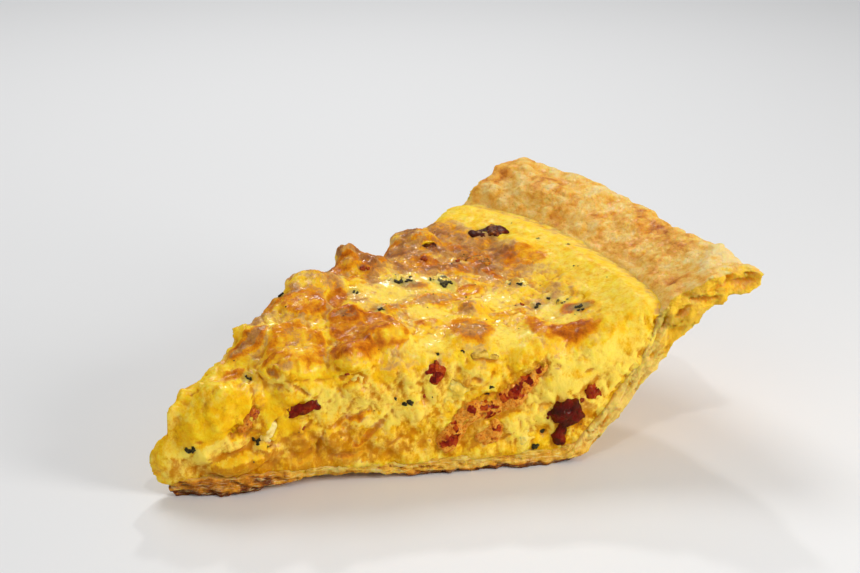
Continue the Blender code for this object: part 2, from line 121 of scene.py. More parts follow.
def copy_of(node_names, name):
    """A new object with the meshes of these solids, their doubles merged."""
    shape = bmesh.new()
    for node_name in node_names:
        shape.from_mesh(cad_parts[node_name].data)
    mesh = bpy.data.meshes.new(name)
    shape.to_mesh(mesh)
    shape.free()
    copied = bpy.data.objects.new(name, mesh)
    bpy.context.scene.collection.objects.link(copied)
    select_only(copied)
    bpy.ops.object.mode_set(mode="EDIT")
    bpy.ops.mesh.select_all(action="SELECT")
    bpy.ops.mesh.remove_doubles(threshold=0.002 * MM)
    bpy.ops.object.mode_set(mode="OBJECT")
    return copied


def even_out(obj, voxel):
    """Rebuilds the surface as an even net of small faces, fine enough to carve."""
    select_only(obj)
    remesh = obj.modifiers.new("net", "REMESH")
    remesh.mode = "VOXEL"
    remesh.voxel_size = voxel
    remesh.use_smooth_shade = True
    bpy.ops.object.modifier_apply(modifier=remesh.name)


def carve(obj, push):
    """Moves every vertex by push(its place, its normal)."""
    places = [vertex.co + push(vertex.co, vertex.normal) for vertex in obj.data.vertices]
    for vertex, place in zip(obj.data.vertices, places):
        vertex.co = place
    obj.data.update()


def sunken(obj, rounds):
    """How far each vertex lies below the surface smoothed over so many rounds, in millimetres. Peaks are negative."""
    mesh = obj.data
    ends = numpy.empty(len(mesh.edges) * 2, dtype=numpy.int64)
    mesh.edges.foreach_get("vertices", ends)
    starts = numpy.concatenate((ends[0::2], ends[1::2]))
    stops = numpy.concatenate((ends[1::2], ends[0::2]))
    places = numpy.empty((len(mesh.vertices), 3))
    mesh.vertices.foreach_get("co", places.ravel())
    normals = numpy.empty((len(mesh.vertices), 3))
    mesh.vertices.foreach_get("normal", normals.ravel())
    neighbours = numpy.bincount(starts, minlength=len(places))[:, None]
    soft = places
    for _ in range(rounds):
        sums = [numpy.bincount(starts, weights=soft[stops, axis], minlength=len(places)) for axis in range(3)]
        soft = numpy.stack(sums, axis=1) / neighbours
    return ((soft - places) * normals).sum(axis=1) / MM


def stain(obj, name, mix, rounds=6):
    """Stores mix(place, normal), three shares, on every vertex as a colour, and how sunken it lies as the alpha."""
    depths = sunken(obj, rounds)
    layer = obj.data.color_attributes.new(name, "FLOAT_COLOR", "POINT")
    for vertex, entry, depth in zip(obj.data.vertices, layer.data, depths):
        entry.color = (*mix(vertex.co, vertex.normal), depth)


# Hollows between the puffed layers at the near end of the rim: middle, half length, half height, tilt and edge
# width on the cut, then depth
RIM_HOLLOWS = [
    (118.2, 37.2, 2.4, 0.7, 8, 0.5, 1.5), (114.8, 38.4, 1.5, 0.8, 60, 0.6, 1.2), (119.4, 38.8, 1.4, 0.5, -10, 0.5, 1.0),
    (109.6, 34.3, 2.8, 0.5, 4, 0.5, 1.5), (111.6, 36.4, 1.6, 0.5, 30, 0.5, 0.9), (105.4, 31.6, 1.8, 0.6, 48, 0.5, 1.2),
    (101.8, 29.6, 1.5, 0.4, 62, 0.5, 0.9), (103.2, 27.2, 1.6, 0.4, 50, 0.5, 0.7), (99.2, 22.6, 0.7, 0.4, 50, 0.6, 0.6),
    (97.6, 25.8, 0.5, 0.4, 30, 0.6, 0.5), (106.4, 35.2, 1.2, 0.4, 15, 0.5, 0.7), (94.6, 16.4, 0.8, 0.3, 55, 0.6, 0.5),
]
# On the far cut the hollows lie this much nearer to the point
HOLLOWS_SHIFT = 2.2
HOLLOWS_DEEPER = 1.7


def across_layers(reach, height):
    """How far a point of the cut lies across the pastry's layers, which follow the base, the wall and the rim."""
    up_wall = (reach - WALL_FOOT[0]) * math.sin(WALL_LEAN) - (height - WALL_FOOT[1]) * math.cos(WALL_LEAN)
    bent = ease(*WALL_BENDS, height)
    on_wall = ease(80, 88, reach) * (1 - bent)
    on_rim = bent * ease(98, 103, reach)
    flat = height - 0.2 * reach * on_rim
    return flat + (up_wall - flat) * on_wall


def parting(reach, layer, cut):
    """1 in the thin dark gaps between two layers of a cut, 0 on the layers' edges."""
    wavy = Vector((reach * 0.17, layer * 0.85, cut.out.y * 3))
    gap = 1 - ease(0.0, 0.24, abs(ripple(wavy, 1.0, 3.0)))
    return gap * ease(-0.3, 0.2, ripple(Vector((reach * 0.3, layer, cut.out.y)), 1.2, 8.0))


def puff(point, normal):
    """Blisters and flakes on the rim, parted layers at the cuts."""
    radius, degrees = polar(point)
    local = (point - PIE_AXIS) / MM
    change = Vector()
    rim = ease(*RIM_STARTS, radius) * ease(0.05, 0.5, normal.z) * ease(26, 32, local.z)
    distance, luck = cells(local, 3.4, 4.0)
    blister = max(0.0, 1 - (distance / 0.62) ** 2) * max(0.0, luck) * 0.75
    small_distance, small_luck = cells(local, 1.5, 9.0)
    blister += max(0.0, 1 - (small_distance / 0.6) ** 2) * abs(small_luck) * 0.28
    sheet = ripple(Vector((radius * 0.8, degrees * 1.2, local.z)), 5.0, 2.0) * 2.2
    ledge = (math.floor(sheet) + ease(0.7, 1.0, sheet - math.floor(sheet))) * 0.22
    change += normal * (blister + ledge + 0.1 * ripple(local, 0.9)) * MM * rim
    wall = (1 - ease(*RIM_STARTS, radius)) * ease(84, 88, radius)
    change += normal * (0.16 * ripple(local, 5) + 0.1 * ripple(local, 1.6)) * MM * wall
    crumbly = 1 - ease(1.5, 5, min(NEAR.read(point)[2], FAR.read(point)[2]))
    change += normal * (0.4 * ripple(local, 2.4, 11.0) + 0.3 * ripple(local, 1.0, 5.0)) * MM * crumbly * (1 - rim)
    for cut in (NEAR, FAR):
        reach, height, depth = cut.read(point)
        facing = ease(0.3, 0.75, normal.dot(cut.out)) * (1 - ease(1.5, 3.5, depth))
        if facing == 0:
            continue
        layer = across_layers(reach, height)
        fray = ripple(Vector((reach, height * 1.6, cut.out.y * 9)), 1.5, 6.0) * 0.35
        fray += ripple(Vector((reach, height, cut.out.y * 9)), 4.0, 2.0) * 0.5
        fray *= 1 + 0.8 * (1 - ease(14, 28, reach))
        push = fray + 0.2 - 0.9 * parting(reach, layer, cut)
        lifted = 0.3 + ripple(Vector((reach, 0, cut.out.y * 5)), 1.7, 3.0)
        lifted += 0.6 * ripple(Vector((reach, 0, 0)), 0.8, 5.0)
        change += Vector((0, 0, 1)) * max(0.0, lifted) * 0.8 * MM * facing * (1 - ease(0.3, 1.6, height))
        rag = 0.3 * ripple(Vector((reach, height, 0)), 1.1)
        mirrored = 0 if cut is NEAR else HOLLOWS_SHIFT
        for row in RIM_HOLLOWS:
            push -= HOLLOWS_DEEPER * row[6] * oval(reach + mirrored, height - mirrored * 0.4, row[:6], rag)
        change += cut.out * push * MM * facing
    return change


# Toasted places: radius and degrees, half width out and round in millimetres, tilt, edge, then how brown
RIM_TOASTS = [
    (115.5, 17.1, 4.5, 9, 0, 0.7, 0.16), (110.6, 41.6, 3.2, 4.0, 0, 0.7, 0.3), (104.6, 5.5, 2.4, 7, 0, 0.7, 0.16),
    (104.4, 22, 1.8, 16, 0, 0.8, 0.14), (117.5, 4.6, 5, 6, 0, 0.8, -0.3), (119, 30, 3, 12, 0, 0.8, -0.12),
    (111, 11.5, 2.6, 5, 0, 0.7, 0.08), (113, 33.5, 2.5, 5, 0, 0.7, 0.12),
]
# Charred places along the lower edge of the cuts: reach, half length, strength
CHARS = [(3, 3, 0.8), (9, 1.6, 1.0), (25, 1.4, 0.7), (54.5, 5, 0.75), (69, 5.5, 0.9), (74, 2.5, 0.8), (82, 3, 1.0)]


def toast_and_painted_light(point, normal):
    """How brown, with painted shade in the gaps between layers; how far a fresh cut; and how much painted glow, as of
    light through the thin pastry, lies in its hollows and at the rim's end of a cut.
    """
    radius, degrees = polar(point)
    local = (point - PIE_AXIS) / MM
    round_rim = math.radians(degrees) * radius
    brown = 0.24 + 0.16 * ripple(local, 6, 3.0) + 0.14 * ripple(local, 2.2, 5.0)
    for middle, at_degrees, out, around, tilt, edge, strength in RIM_TOASTS:
        row = (middle, math.radians(at_degrees) * radius, out, around, tilt, edge)
        brown += strength * oval(radius, round_rim, row, 0.3 * ripple(local, 2.5))
    distance, luck = cells(local, 3.4, 4.0)
    brown -= 0.2 * max(0.0, 1 - (distance / 0.5) ** 2) * max(0.0, luck)
    brown += 0.22 * ease(0.4, 0.75, distance) * ease(*RIM_STARTS, radius)
    small_distance, _ = cells(local, 1.5, 9.0)
    brown += 0.12 * (ease(0.3, 0.7, small_distance) - 0.5) * ease(*RIM_STARTS, radius)
    cut_share = 0.0
    painted_glow = 0.0
    char = 1 - ease(0.2, 1.3 + 0.5 * ripple(local, 3.5, 6.0) + 0.4 * ripple(local, 1.1, 2.0), local.z)
    for cut in (NEAR, FAR):
        reach, height, depth = cut.read(point)
        facing = ease(0.2, 0.6, normal.dot(cut.out)) * (1 - ease(1.5, 4, depth))
        cut_share = max(cut_share, facing)
        gap = parting(reach, across_layers(reach, height), cut)
        blotch = (0.22 + max(0.0, ripple(local, 2.6, 13.0))) * (1 - ease(16, 32, reach)) * (1 - ease(4, 7, height))
        # The gap term is painted shade in the gaps between layers; the rest is real browning and char.
        darker = 0.25 * (1 - ease(2.5, 6, height)) + 0.6 * char + 0.22 * gap + 1.4 * blotch
        brown += facing * (darker - 0.14 - 0.1 * ease(9, 14, height))
        # Painted glow: the hollows between puffed layers and the rim's end of the cut get a share of bright orange, as
        # if lit through the pastry.
        rag = 0.25 * ripple(Vector((reach, height, 0)), 1.1)
        mirrored = 0 if cut is NEAR else HOLLOWS_SHIFT
        for row in RIM_HOLLOWS:
            painted_glow = max(painted_glow, oval(reach + mirrored, height - mirrored * 0.4, row[:6], rag) * facing)
        painted_glow = max(painted_glow, facing * (0.8 + 0.5 * ripple(local, 3, 2.0)) * ease(99, 103, reach))
        for middle, half, strength in CHARS:
            low = 1 - ease(0.2, 1.5 + 0.5 * ripple(local, 1.5, 8.0), local.z)
            ragged = abs(reach - middle) / half + 0.4 * ripple(local, 1.2)
            brown += strength * low * (1 - ease(0.6, 1.2, ragged)) * (1 - ease(0, 3, depth))
    underside = ease(0.4, 0.9, -normal.z) * (1 - ease(1, 4, local.z))
    brown += 0.25 * underside
    brown -= 0.14 * cut_share * (1 - ease(-0.2, 0.5, brown - 0.6))
    return min(1.0, max(0.0, brown)), cut_share, painted_glow


class Shade:
    """One socket of a material. Arithmetic on it adds Math nodes."""

    def __init__(self, socket):
        self.socket = socket

    def node(self, kind, settings, sockets, output=0):
        """Adds a node to the same material: its settings first, then the values or links of its sockets."""
        tree = self.socket.id_data
        added = tree.nodes.new("ShaderNode" + kind)
        for key, value in settings.items():
            if key != "stops":
                setattr(added, key, value)
                continue
            while len(added.color_ramp.elements) < len(value):
                added.color_ramp.elements.new(1)
            for element, (position, colour) in zip(added.color_ramp.elements, value):
                element.position = position
                element.color = (*colour, 1)
        for key, value in sockets.items():
            if isinstance(value, Shade):
                tree.links.new(value.socket, added.inputs[key])
            else:
                added.inputs[key].default_value = value
        return Shade(added.outputs[output])

    def math(self, operation, first, second):
        return self.node("Math", {"operation": operation}, {0: first, 1: second})

    def __add__(self, other):
        return self.math("ADD", self, other)

    def __radd__(self, other):
        return self.math("ADD", other, self)

    def __sub__(self, other):
        return self.math("SUBTRACT", self, other)

    def __rsub__(self, other):
        return self.math("SUBTRACT", other, self)

    def __mul__(self, other):
        return self.math("MULTIPLY", self, other)

    def __rmul__(self, other):
        return self.math("MULTIPLY", other, self)

    def between(self, low, high):
        """0 below low, 1 above high and eased in between."""
        sockets = {"Value": self, "From Min": low, "From Max": high}
        return self.node("MapRange", {"interpolation_type": "SMOOTHSTEP"}, sockets)

    def grain(self, size, detail=2.0, rough=0.5):
        """Noise on this vector with features of a size in millimetres."""
        sockets = {"Vector": self, "Scale": 1 / (size * MM), "Detail": detail, "Roughness": rough}
        return self.node("TexNoise", {}, sockets, "Fac")

    def pebbles(self, size):
        """Distance to the nearest of scattered points that lie a size in millimetres apart."""
        return self.node("TexVoronoi", {}, {"Vector": self, "Scale": 1 / (size * MM)}, "Distance")

    def patches(self, size):
        """A steady random tone for each of many patches that are a size in millimetres across."""
        return self.node("TexVoronoi", {}, {"Vector": self, "Scale": 1 / (size * MM)}, "Color")

    def pulled(self, amount):
        """This vector pulled about by so many millimetres, which makes what is laid out on it irregular."""
        sway = self.node("TexNoise", {}, {"Vector": self, "Scale": 1 / (1.6 * MM), "Detail": 2.0}, "Color")
        centred = self.node("VectorMath", {"operation": "SUBTRACT"}, {0: sway, 1: (0.5, 0.5, 0.5)})
        moved = self.node("VectorMath", {"operation": "SCALE"}, {0: centred, "Scale": amount * MM * 2})
        return self.node("VectorMath", {"operation": "ADD"}, {0: self, 1: moved})

    def ramp(self, *stops):
        return self.node("ValToRGB", {"stops": stops}, {"Fac": self}, "Color")

    def towards(self, colour, share):
        """This colour, mixed towards another by a share."""
        return self.node("Mix", {"data_type": "RGBA"}, {0: share, 6: self, 7: colour}, 2)

    def bump(self, height, depth, strength=1.0):
        """A normal that stands out by a depth in millimetres, over this normal."""
        return self.node("Bump", {}, {"Height": height, "Distance": depth * MM, "Strength": strength, "Normal": self})


def food_material(name, constants):
    """A new material, its surface shader, object coordinates and geometry normal, with its constant sockets set."""
    material = bpy.data.materials.new(name)
    material.use_nodes = True
    surface = material.node_tree.nodes["Principled BSDF"]
    for key, value in constants.items():
        surface.inputs[key].default_value = value
    place = Shade(material.node_tree.nodes.new("ShaderNodeTexCoord").outputs["Object"])
    normal = Shade(material.node_tree.nodes.new("ShaderNodeNewGeometry").outputs["Normal"])
    return material, surface, place, normal


def feed(surface, **channels):
    """Links each channel, such as base_color, to its socket on the surface shader."""
    for channel, value in channels.items():
        socket = surface.inputs[channel.replace("_", " ").title()]
        socket.id_data.links.new(value.socket, socket)


def put_on(obj, material):
    obj.data.materials.clear()
    obj.data.materials.append(material)
    select_only(obj)
    bpy.ops.object.shade_smooth()


pastry = copy_of(["pastry_case"], "pastry_case_baked")
even_out(pastry, PASTRY_VOXEL)
carve(pastry, puff)
stain(pastry, "bake", toast_and_painted_light)
leaves = pastry.data.attributes.new("leaf", "FLOAT", "POINT")
for vertex, entry in zip(pastry.data.vertices, leaves.data):
    cut = NEAR if NEAR.read(vertex.co)[2] < FAR.read(vertex.co)[2] else FAR
    entry.value = across_layers(*cut.read(vertex.co)[:2])
for vertex in pastry.data.vertices:
    vertex.co.z = max(vertex.co.z, 0)

material, surface, place, normal = food_material(
    "baked_flaky_pastry",
    {
        "Subsurface Weight": 0.5,
        "Subsurface Radius": (1.0, 0.42, 0.06),
        "Subsurface Scale": 0.0018,
        "Specular IOR Level": 0.12,
        "Coat Weight": 0.1,
        "Coat Roughness": 0.25,
    },
)
# The pastry's attribute holds brown with painted shade in the gaps between layers, how far a fresh cut, painted glow,
# and how sunken each place lies, which paints shade below.
shares = place.node("Attribute", {"attribute_name": "bake"}, {}, "Vector")
split = shares.node("SeparateXYZ", {}, {"Vector": shares}, "X")
fresh = Shade(split.socket.node.outputs["Y"])
painted_glow = Shade(split.socket.node.outputs["Z"])
brown_and_painted_shade = split + (place.grain(1.4, 4, 0.6) - 0.5) * 0.6 + (place.grain(0.45, 2) - 0.5) * 0.2
sunk = Shade(shares.socket.node.outputs["Alpha"])
crust_colour = brown_and_painted_shade.ramp(
    (0.0, (0.98, 0.70, 0.28)), (0.22, (0.97, 0.60, 0.15)), (0.4, (0.92, 0.47, 0.065)), (0.6, (0.76, 0.29, 0.025)),
    (0.8, (0.44, 0.11, 0.010)), (1.0, (0.13, 0.028, 0.008)),
)
crumb_colour = brown_and_painted_shade.ramp(
    (0.0, (1.0, 0.67, 0.15)), (0.2, (1.0, 0.56, 0.06)), (0.42, (0.88, 0.38, 0.025)), (0.66, (0.45, 0.14, 0.008)),
    (0.9, (0.15, 0.03, 0.005)),
)
colour = crust_colour.towards(crumb_colour, fresh)
# Painted shade: sunken places darken towards orange-brown, less on fresh cuts.
colour = colour.towards((0.70, 0.28, 0.012, 1), sunk.between(0.02, 0.4) * (0.35 - fresh * 0.2))
# Painted highlight: raised places turn paler, except where well browned.
raised = (0.0 - sunk).between(0.05, 0.3) * 0.4
colour = colour.towards((0.99, 0.78, 0.36, 1), raised * (1.0 - brown_and_painted_shade.between(0.5, 0.7)))
leaf = place.node("Attribute", {"attribute_name": "leaf"}, {}, "Fac") * MM * 4
along = place.node("SeparateXYZ", {}, {"Vector": place}, "X")
low = 1.0 - Shade(along.socket.node.outputs["Z"]).between(0.003, 0.010)
leaves = place.node("CombineXYZ", {}, {"X": along * 0.6, "Y": leaf}).grain(1.5, 4, 0.65)
# Painted shade and highlight along the layers of a cut: dark lines in the gaps between layers, stronger near the bottom
# where the crust is also charred, and pale lines of painted highlight on the layers' edges.
colour = colour.towards((0.56, 0.21, 0.012, 1), (0.5 - leaves).between(0.02, 0.16) * (0.12 + low * 0.68) * fresh)
colour = colour.towards((1.0, 0.78, 0.34, 1), (leaves - 0.5).between(0.02, 0.16) * (0.2 + low * 0.5) * fresh)
# Painted glow: hollows and the rim's end of a cut turn bright orange, as if lit through the pastry.
colour = colour.towards((1.0, 0.56, 0.02, 1), painted_glow.between(0.0, 1.0) * 0.95)
relief = place.grain(0.7, 4, 0.65) * (1.0 - fresh * 0.4) + leaves * fresh
feed(
    surface,
    base_color=colour,
    roughness=0.5 + place.grain(2.5, 2) * 0.35,
    normal=normal.bump(relief, 0.6).bump(place.pulled(0.6).pebbles(1.1), 0.3),
)
put_on(pastry, material)
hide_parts("pastry_case")
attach(pastry, "root")

# Custard: eggs, cream and melted cheese set in the oven. The knife leaves it torn into soft curds with smooth patches
# between, and the oven browns the lumps of cheese that stand out of its top. It fills the case to the rim.

CUSTARD_VOXEL = 0.45 * MM
SET_IN = [node_name for node_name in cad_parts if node_name not in ("pastry_case", "custard")]
SUNK = 1.3 * MM
FATTENED = 0.6 * MM

# Slabs that the knife left proud of the near cut: middle, half length, half height, tilt, edge, then height
SLABS = [
    (12.4, 19.0, 5.0, 4.0, 30, 0.08, 1.3), (7.8, 14.4, 7.4, 4.6, 50, 0.5, 1.0), (13.8, 6.6, 5.6, 2.1, 8, 0.1, 1.1),
    (18.6, 8.4, 2.2, 2.0, 60, 0.2, 0.8), (13.2, 10.6, 2.6, 1.3, 10, 0.25, 0.6), (6.6, 9.2, 2.4, 1.5, 30, 0.25, 0.6),
    (26.5, 20.8, 4.4, 2.4, 10, 0.2, 0.5),
    (34, 24.8, 8, 1.5, 6, 0.25, 0.7), (62, 21.4, 3.6, 2.4, 20, 0.18, 0.8), (81.5, 19, 5.4, 3.8, 30, 0.3, 0.6),
    (49.5, 24, 3.6, 2.6, 60, 0.2, 0.5), (33.5, 10, 2.6, 2.2, 30, 0.25, 0.6), (26.6, 9.6, 2.6, 1.8, 10, 0.25, 0.5),
    (71, 10, 3.4, 2.6, 40, 0.25, 0.6),
]
# The first few stand clear, with a crevice round them
SLABS_WITH_CREVICE = 4
# Smooth melted patches at the near cut: middle, half length, half height, tilt, edge
MELTS = [
    (10.0, 17.2, 9.0, 4.4, 40, 0.2), (22.8, 17.4, 4.0, 3.2, 0, 0.4), (23, 12.8, 3.2, 2.6, 0, 0.4),
    (52, 26, 9, 2.0, 4, 0.5), (82, 19.4, 5.0, 3.2, 30, 0.4), (92, 26, 6, 4, 40, 0.6), (30, 23.6, 4, 1.6, -10, 0.5),
    (72, 26.6, 8, 2, 0, 0.6), (13.8, 6.8, 5, 1.7, 8, 0.4), (43.6, 22.4, 2.4, 1.4, 0, 0.4),
]
# Pits and slits at the near cut: middle, half length, half height, tilt, edge, then depth
PITS = [
    (30.5, 8.8, 1.9, 0.6, 75, 0.5, 2.0), (21.4, 13.2, 2.0, 0.5, 70, 0.4, 2.4), (21.6, 25.0, 1.3, 1.0, -20, 0.5, 2.6),
    (41, 11, 3.4, 0.9, 42, 0.5, 1.6), (38.2, 9.8, 2.2, 0.5, 60, 0.5, 1.1), (62.4, 20.4, 1.2, 0.7, 0, 0.6, 1.6),
    (34.5, 13.5, 1.4, 0.5, 50, 0.6, 1.2), (26.6, 21.4, 3.0, 0.35, -38, 0.5, 1.2), (16.2, 13.0, 1.6, 0.5, 60, 0.5, 1.2),
    (6.2, 12.4, 0.9, 0.5, 0, 0.5, 1.0), (45.4, 8.4, 1.5, 0.5, 35, 0.5, 1.2), (76.8, 7.4, 0.8, 0.6, 0, 0.5, 1.4),
    (83.6, 8.4, 1.6, 0.6, 60, 0.5, 1.5), (54.6, 25.8, 3.2, 0.35, -12, 0.5, 0.8), (64.2, 24.2, 2.6, 0.5, -8, 0.4, 1.2),
    (11.2, 4.6, 3.6, 0.5, 4, 0.4, 1.4), (35.6, 6.2, 2.6, 0.4, 5, 0.5, 1.0), (68.5, 7.4, 1.6, 0.5, 30, 0.5, 1.1),
    (19.8, 11.4, 1.6, 0.4, 20, 0.5, 1.2), (58.8, 19.0, 1.6, 0.8, -30, 0.5, 1.0), (85.6, 20.6, 1.2, 0.5, 20, 0.5, 0.9),
    (47.0, 20.4, 2.0, 0.4, 70, 0.5, 0.8), (28.4, 13.4, 1.6, 0.4, 40, 0.5, 1.0),
]
# Browned lumps and patches on top: reach along the near cut and depth in from it, half length, half width, tilt,
# edge, height, then brownness and dustiness at the middle, and brownness at the rim of the lump
BROWNED = [
    (27.0, 6.3, 6.2, 6.8, 0, 0.12, 1.0, 0.36, 0.4, 0.64), (41.6, 10.4, 7.4, 5.0, 6, 0.12, 1.0, 0.56, 0.3, 0.78),
    (38.2, 3.0, 5.0, 3.6, 10, 0.2, 1.0, 0.6, 0.0, 0.72), (46.4, 5.6, 4.0, 3.2, 20, 0.14, 1.0, 0.26, 0.0, 0.6),
    (38.2, 13.6, 3.8, 2.6, 0, 0.3, 1.1, 0.66, 0.8, 0.7), (30.2, 18.4, 5.0, 3.6, -10, 0.14, 0.9, 0.44, 0.1, 0.66),
    (63.2, 7.4, 5.2, 5.0, 0, 0.35, 0.5, 0.6, 0.7, 0.66), (76.6, 7.8, 2.2, 4.8, 0, 0.45, 0.5, 0.6, 0.1, 0.66),
    (82.6, 3.4, 6.4, 2.6, 0, 0.4, 0.5, 0.72, 0.1, 0.72), (86.2, 11.2, 4.8, 2.4, -25, 0.35, 0.3, 0.58, 0.7, 0.56),
    (80.4, 36.4, 5.8, 3.6, -30, 0.3, 0.4, 0.46, 0.3, 0.6), (58.2, 20.4, 6.4, 2.8, 18, 0.35, 0.4, 0.52, 0.9, 0.5),
    (66.2, 24.6, 3.4, 2.2, 30, 0.16, 0.8, 0.34, 0.0, 0.62), (17.6, 10.2, 6.0, 2.2, 28, 0.3, 0.3, 0.62, 0.95, 0.58),
    (32.0, 24.0, 4.4, 3.6, -25, 0.1, 1.0, 0.02, 0.0, 0.34), (41.5, 33.0, 3.2, 2.6, 0, 0.2, 0.4, 0.46, 0.5, 0.6),
    (71.2, 35.0, 8.4, 1.4, -64, 0.35, 0.2, 0.74, 0.3, 0.64), (60.0, 43.5, 7.0, 4.0, 0, 0.4, 0.3, 0.54, 0.9, 0.54),
    (53.0, 44.0, 4.6, 3.2, 60, 0.2, 0.6, 0.46, 0.3, 0.6), (68.0, 46.6, 4.4, 1.8, 0, 0.4, 0.2, 0.5, 0.6, 0.5),
    (60.4, 37.6, 2.8, 2.0, -50, 0.3, 0.3, 0.72, 0.4, 0.7), (37.6, 21.0, 2.0, 4.0, -20, 0.3, -0.5, 0.7, 0.1, 0.7),
    (48.8, 17.0, 3.2, 1.7, 10, 0.3, 0.4, 0.44, 0.7, 0.5), (21.2, 2.6, 2.4, 1.4, 10, 0.3, 0.3, 0.6, 0.5, 0.6),
    (54.6, 11.6, 2.8, 1.6, 0, 0.3, 0.3, 0.4, 0.2, 0.5), (73.4, 14.6, 4.0, 1.8, 10, 0.35, 0.3, 0.34, 0.4, 0.42),
    (24.0, 19.6, 3.4, 1.6, 44, 0.3, 0.4, 0.5, 0.6, 0.54), (48.0, 36.0, 3.4, 2.4, -30, 0.3, 0.4, 0.5, 0.7, 0.6),
    (66.0, 31.0, 5.0, 2.4, -20, 0.4, 0.2, 0.4, 0.7, 0.42), (86.0, 22.0, 4.0, 3.0, 60, 0.5, 0.1, 0.26, 0.2, 0.3),
    (14.0, 3.6, 2.8, 1.4, 20, 0.3, 0.4, 0.42, 0.6, 0.5), (43.0, 27.4, 3.0, 1.8, 0, 0.35, 0.3, 0.4, 0.6, 0.5),
]
# Pale, soft melted places on top: reach, depth, half length, half width, tilt, edge
PALE_TOPS = [
    (48, 24, 7, 4.4, 10, 0.5), (57, 27, 7, 3.6, 0, 0.5), (70, 21, 5, 3, 0, 0.6), (81, 13.6, 4, 2.6, 0, 0.6),
    (52.6, 3.4, 5, 2.6, 0, 0.6), (70.4, 4.6, 4.4, 4.4, 0, 0.6), (22, 13, 3, 2, 0, 0.6), (55, 15, 5, 2.4, 0, 0.6),
    (83, 8.0, 3.2, 2.4, 0, 0.5), (36, 31, 3, 2, 0, 0.5),
]


# The far cut has no named places, so this seed gives it curds of its own
FAR_SEED = 40


# Without a seed, noise_vector would follow the clock, and the curds would lie elsewhere in each run
noise.seed_set(11)


def curds(local, seed):
    """Soft lumps with creases between them: their height in millimetres, and a tone that differs from lump to lump."""
    leaning = Vector((local.x * 1.1 + local.y * 0.35, local.y * 0.8 - local.x * 0.2, local.z))
    pulled = leaning + noise.noise_vector(local / 2.6 + Vector((seed, 0, -seed))) * 1.2
    height = noise.turbulence(pulled / 4.2 + Vector((seed, seed, 0)), 3, True, amplitude_scale=0.6) - 0.4
    tone = 0.0
    for size, rise, share in ((2.2, 0.24, 0.5), (1.1, 0.14, 0.4)):
        distance, luck = cells(pulled, size, seed)
        height += rise * (max(0.0, 1 - (distance / 0.75) ** 2) * (0.7 + 0.3 * luck) - 0.4)
        tone += share * luck
    return height, tone


def slab_foot(row, reach, height, rag):
    """1 in the crevice that runs round a slab, 0 on the slab and away from it."""
    grown = (*row[:2], row[2] + 1.0, row[3] + 1.0, row[4], 0.12)
    return oval(reach, height, grown, rag * 0.8) * (1 - oval(reach, height, row[:6], rag * 0.4)) * ease(10, 14, reach)


def cut_relief(reach, height, seed):
    """How proud the torn custard of a cut stands in millimetres, how smooth it is, and the tone of its curds."""
    local = Vector((reach, height, seed))
    rag = 0.2 * ripple(local, 2.2, 1.0) + 0.13 * ripple(local, 0.9, 2.0)
    if seed:
        smooth = ease(0.15, 0.4, ripple(local, 9, 5.0))
        named = 0.5 * ease(0.2, 0.3, ripple(local, 7, 3.0) + rag * 0.3)
    else:
        smooth = max(oval(reach, height, row, rag) for row in MELTS)
        named = max(row[6] * oval(reach, height, row[:6], rag * 0.7) for row in SLABS)
        named -= 0.45 * sum(row[6] * oval(reach, height, row[:6], rag * 2.4) for row in PITS)
        named -= 0.4 * max(slab_foot(row, reach, height, rag) for row in SLABS[:SLABS_WITH_CREVICE])
    lumps, tone = curds(local, 3.0 + seed)
    strand = ripple(Vector((reach + height * 0.35, (height - reach * 0.35) * 0.34, seed)), 1.15, 4.0)
    torn = lumps * 0.86 + 0.08 * strand + 0.13 * ripple(local, 0.9, 7.0)
    soft = 0.35 * ripple(local, 5, 8.0) + 0.1 * ripple(local, 1.8, 9.0)
    return named + torn * (1 - 0.88 * smooth) + soft * smooth, smooth, tone + lumps * 0.9


def top_place(point):
    """A place of the top laid flat: reach, depth, both as a point, radius, and a ragged edge for what lies there."""
    reach, _, depth = NEAR.read(point)
    flat = Vector((reach, depth, 0))
    rag = 0.2 * ripple(flat, 2.6, 3.0) + 0.14 * ripple(flat, 1.0, 6.0)
    return reach, depth, flat, polar(point)[0], rag


def lump_height(row, reach, depth, rag):
    """The height of one brown lump: a cushion with a steep side."""
    side = oval(reach, depth, row[:6], rag)
    return row[6] * (0.55 * side + 0.2 * oval(reach, depth, (*row[:5], 0.9), rag)) if side else 0.0


def top_relief(point):
    """How high the baked top stands, in millimetres."""
    reach, depth, flat, radius, rag = top_place(point)
    raised = max(lump_height(row, reach, depth, rag * 0.75) for row in BROWNED if row[6] > 0)
    raised += sum(lump_height(row, reach, depth, rag) for row in BROWNED if row[6] < 0)
    calm = ease(87, 94, radius + 2.5 * ripple(flat, 7, 2.0))
    calm = max(calm, 0.6 * max(oval(reach, depth, row, rag) for row in PALE_TOPS))
    lumps, _ = curds(flat, 5.0)
    skin = lumps * (0.8 - 0.35 * ease(0.1, 0.5, raised)) + 0.16 * ripple(flat, 0.9, 4.0) + 0.18 * ripple(flat, 1.7, 7.0)
    gentle = 0.35 * ripple(flat, 6, 1.0) + 0.1 * ripple(flat, 1.6, 3.0)
    return raised + skin * (1 - calm) + gentle * calm


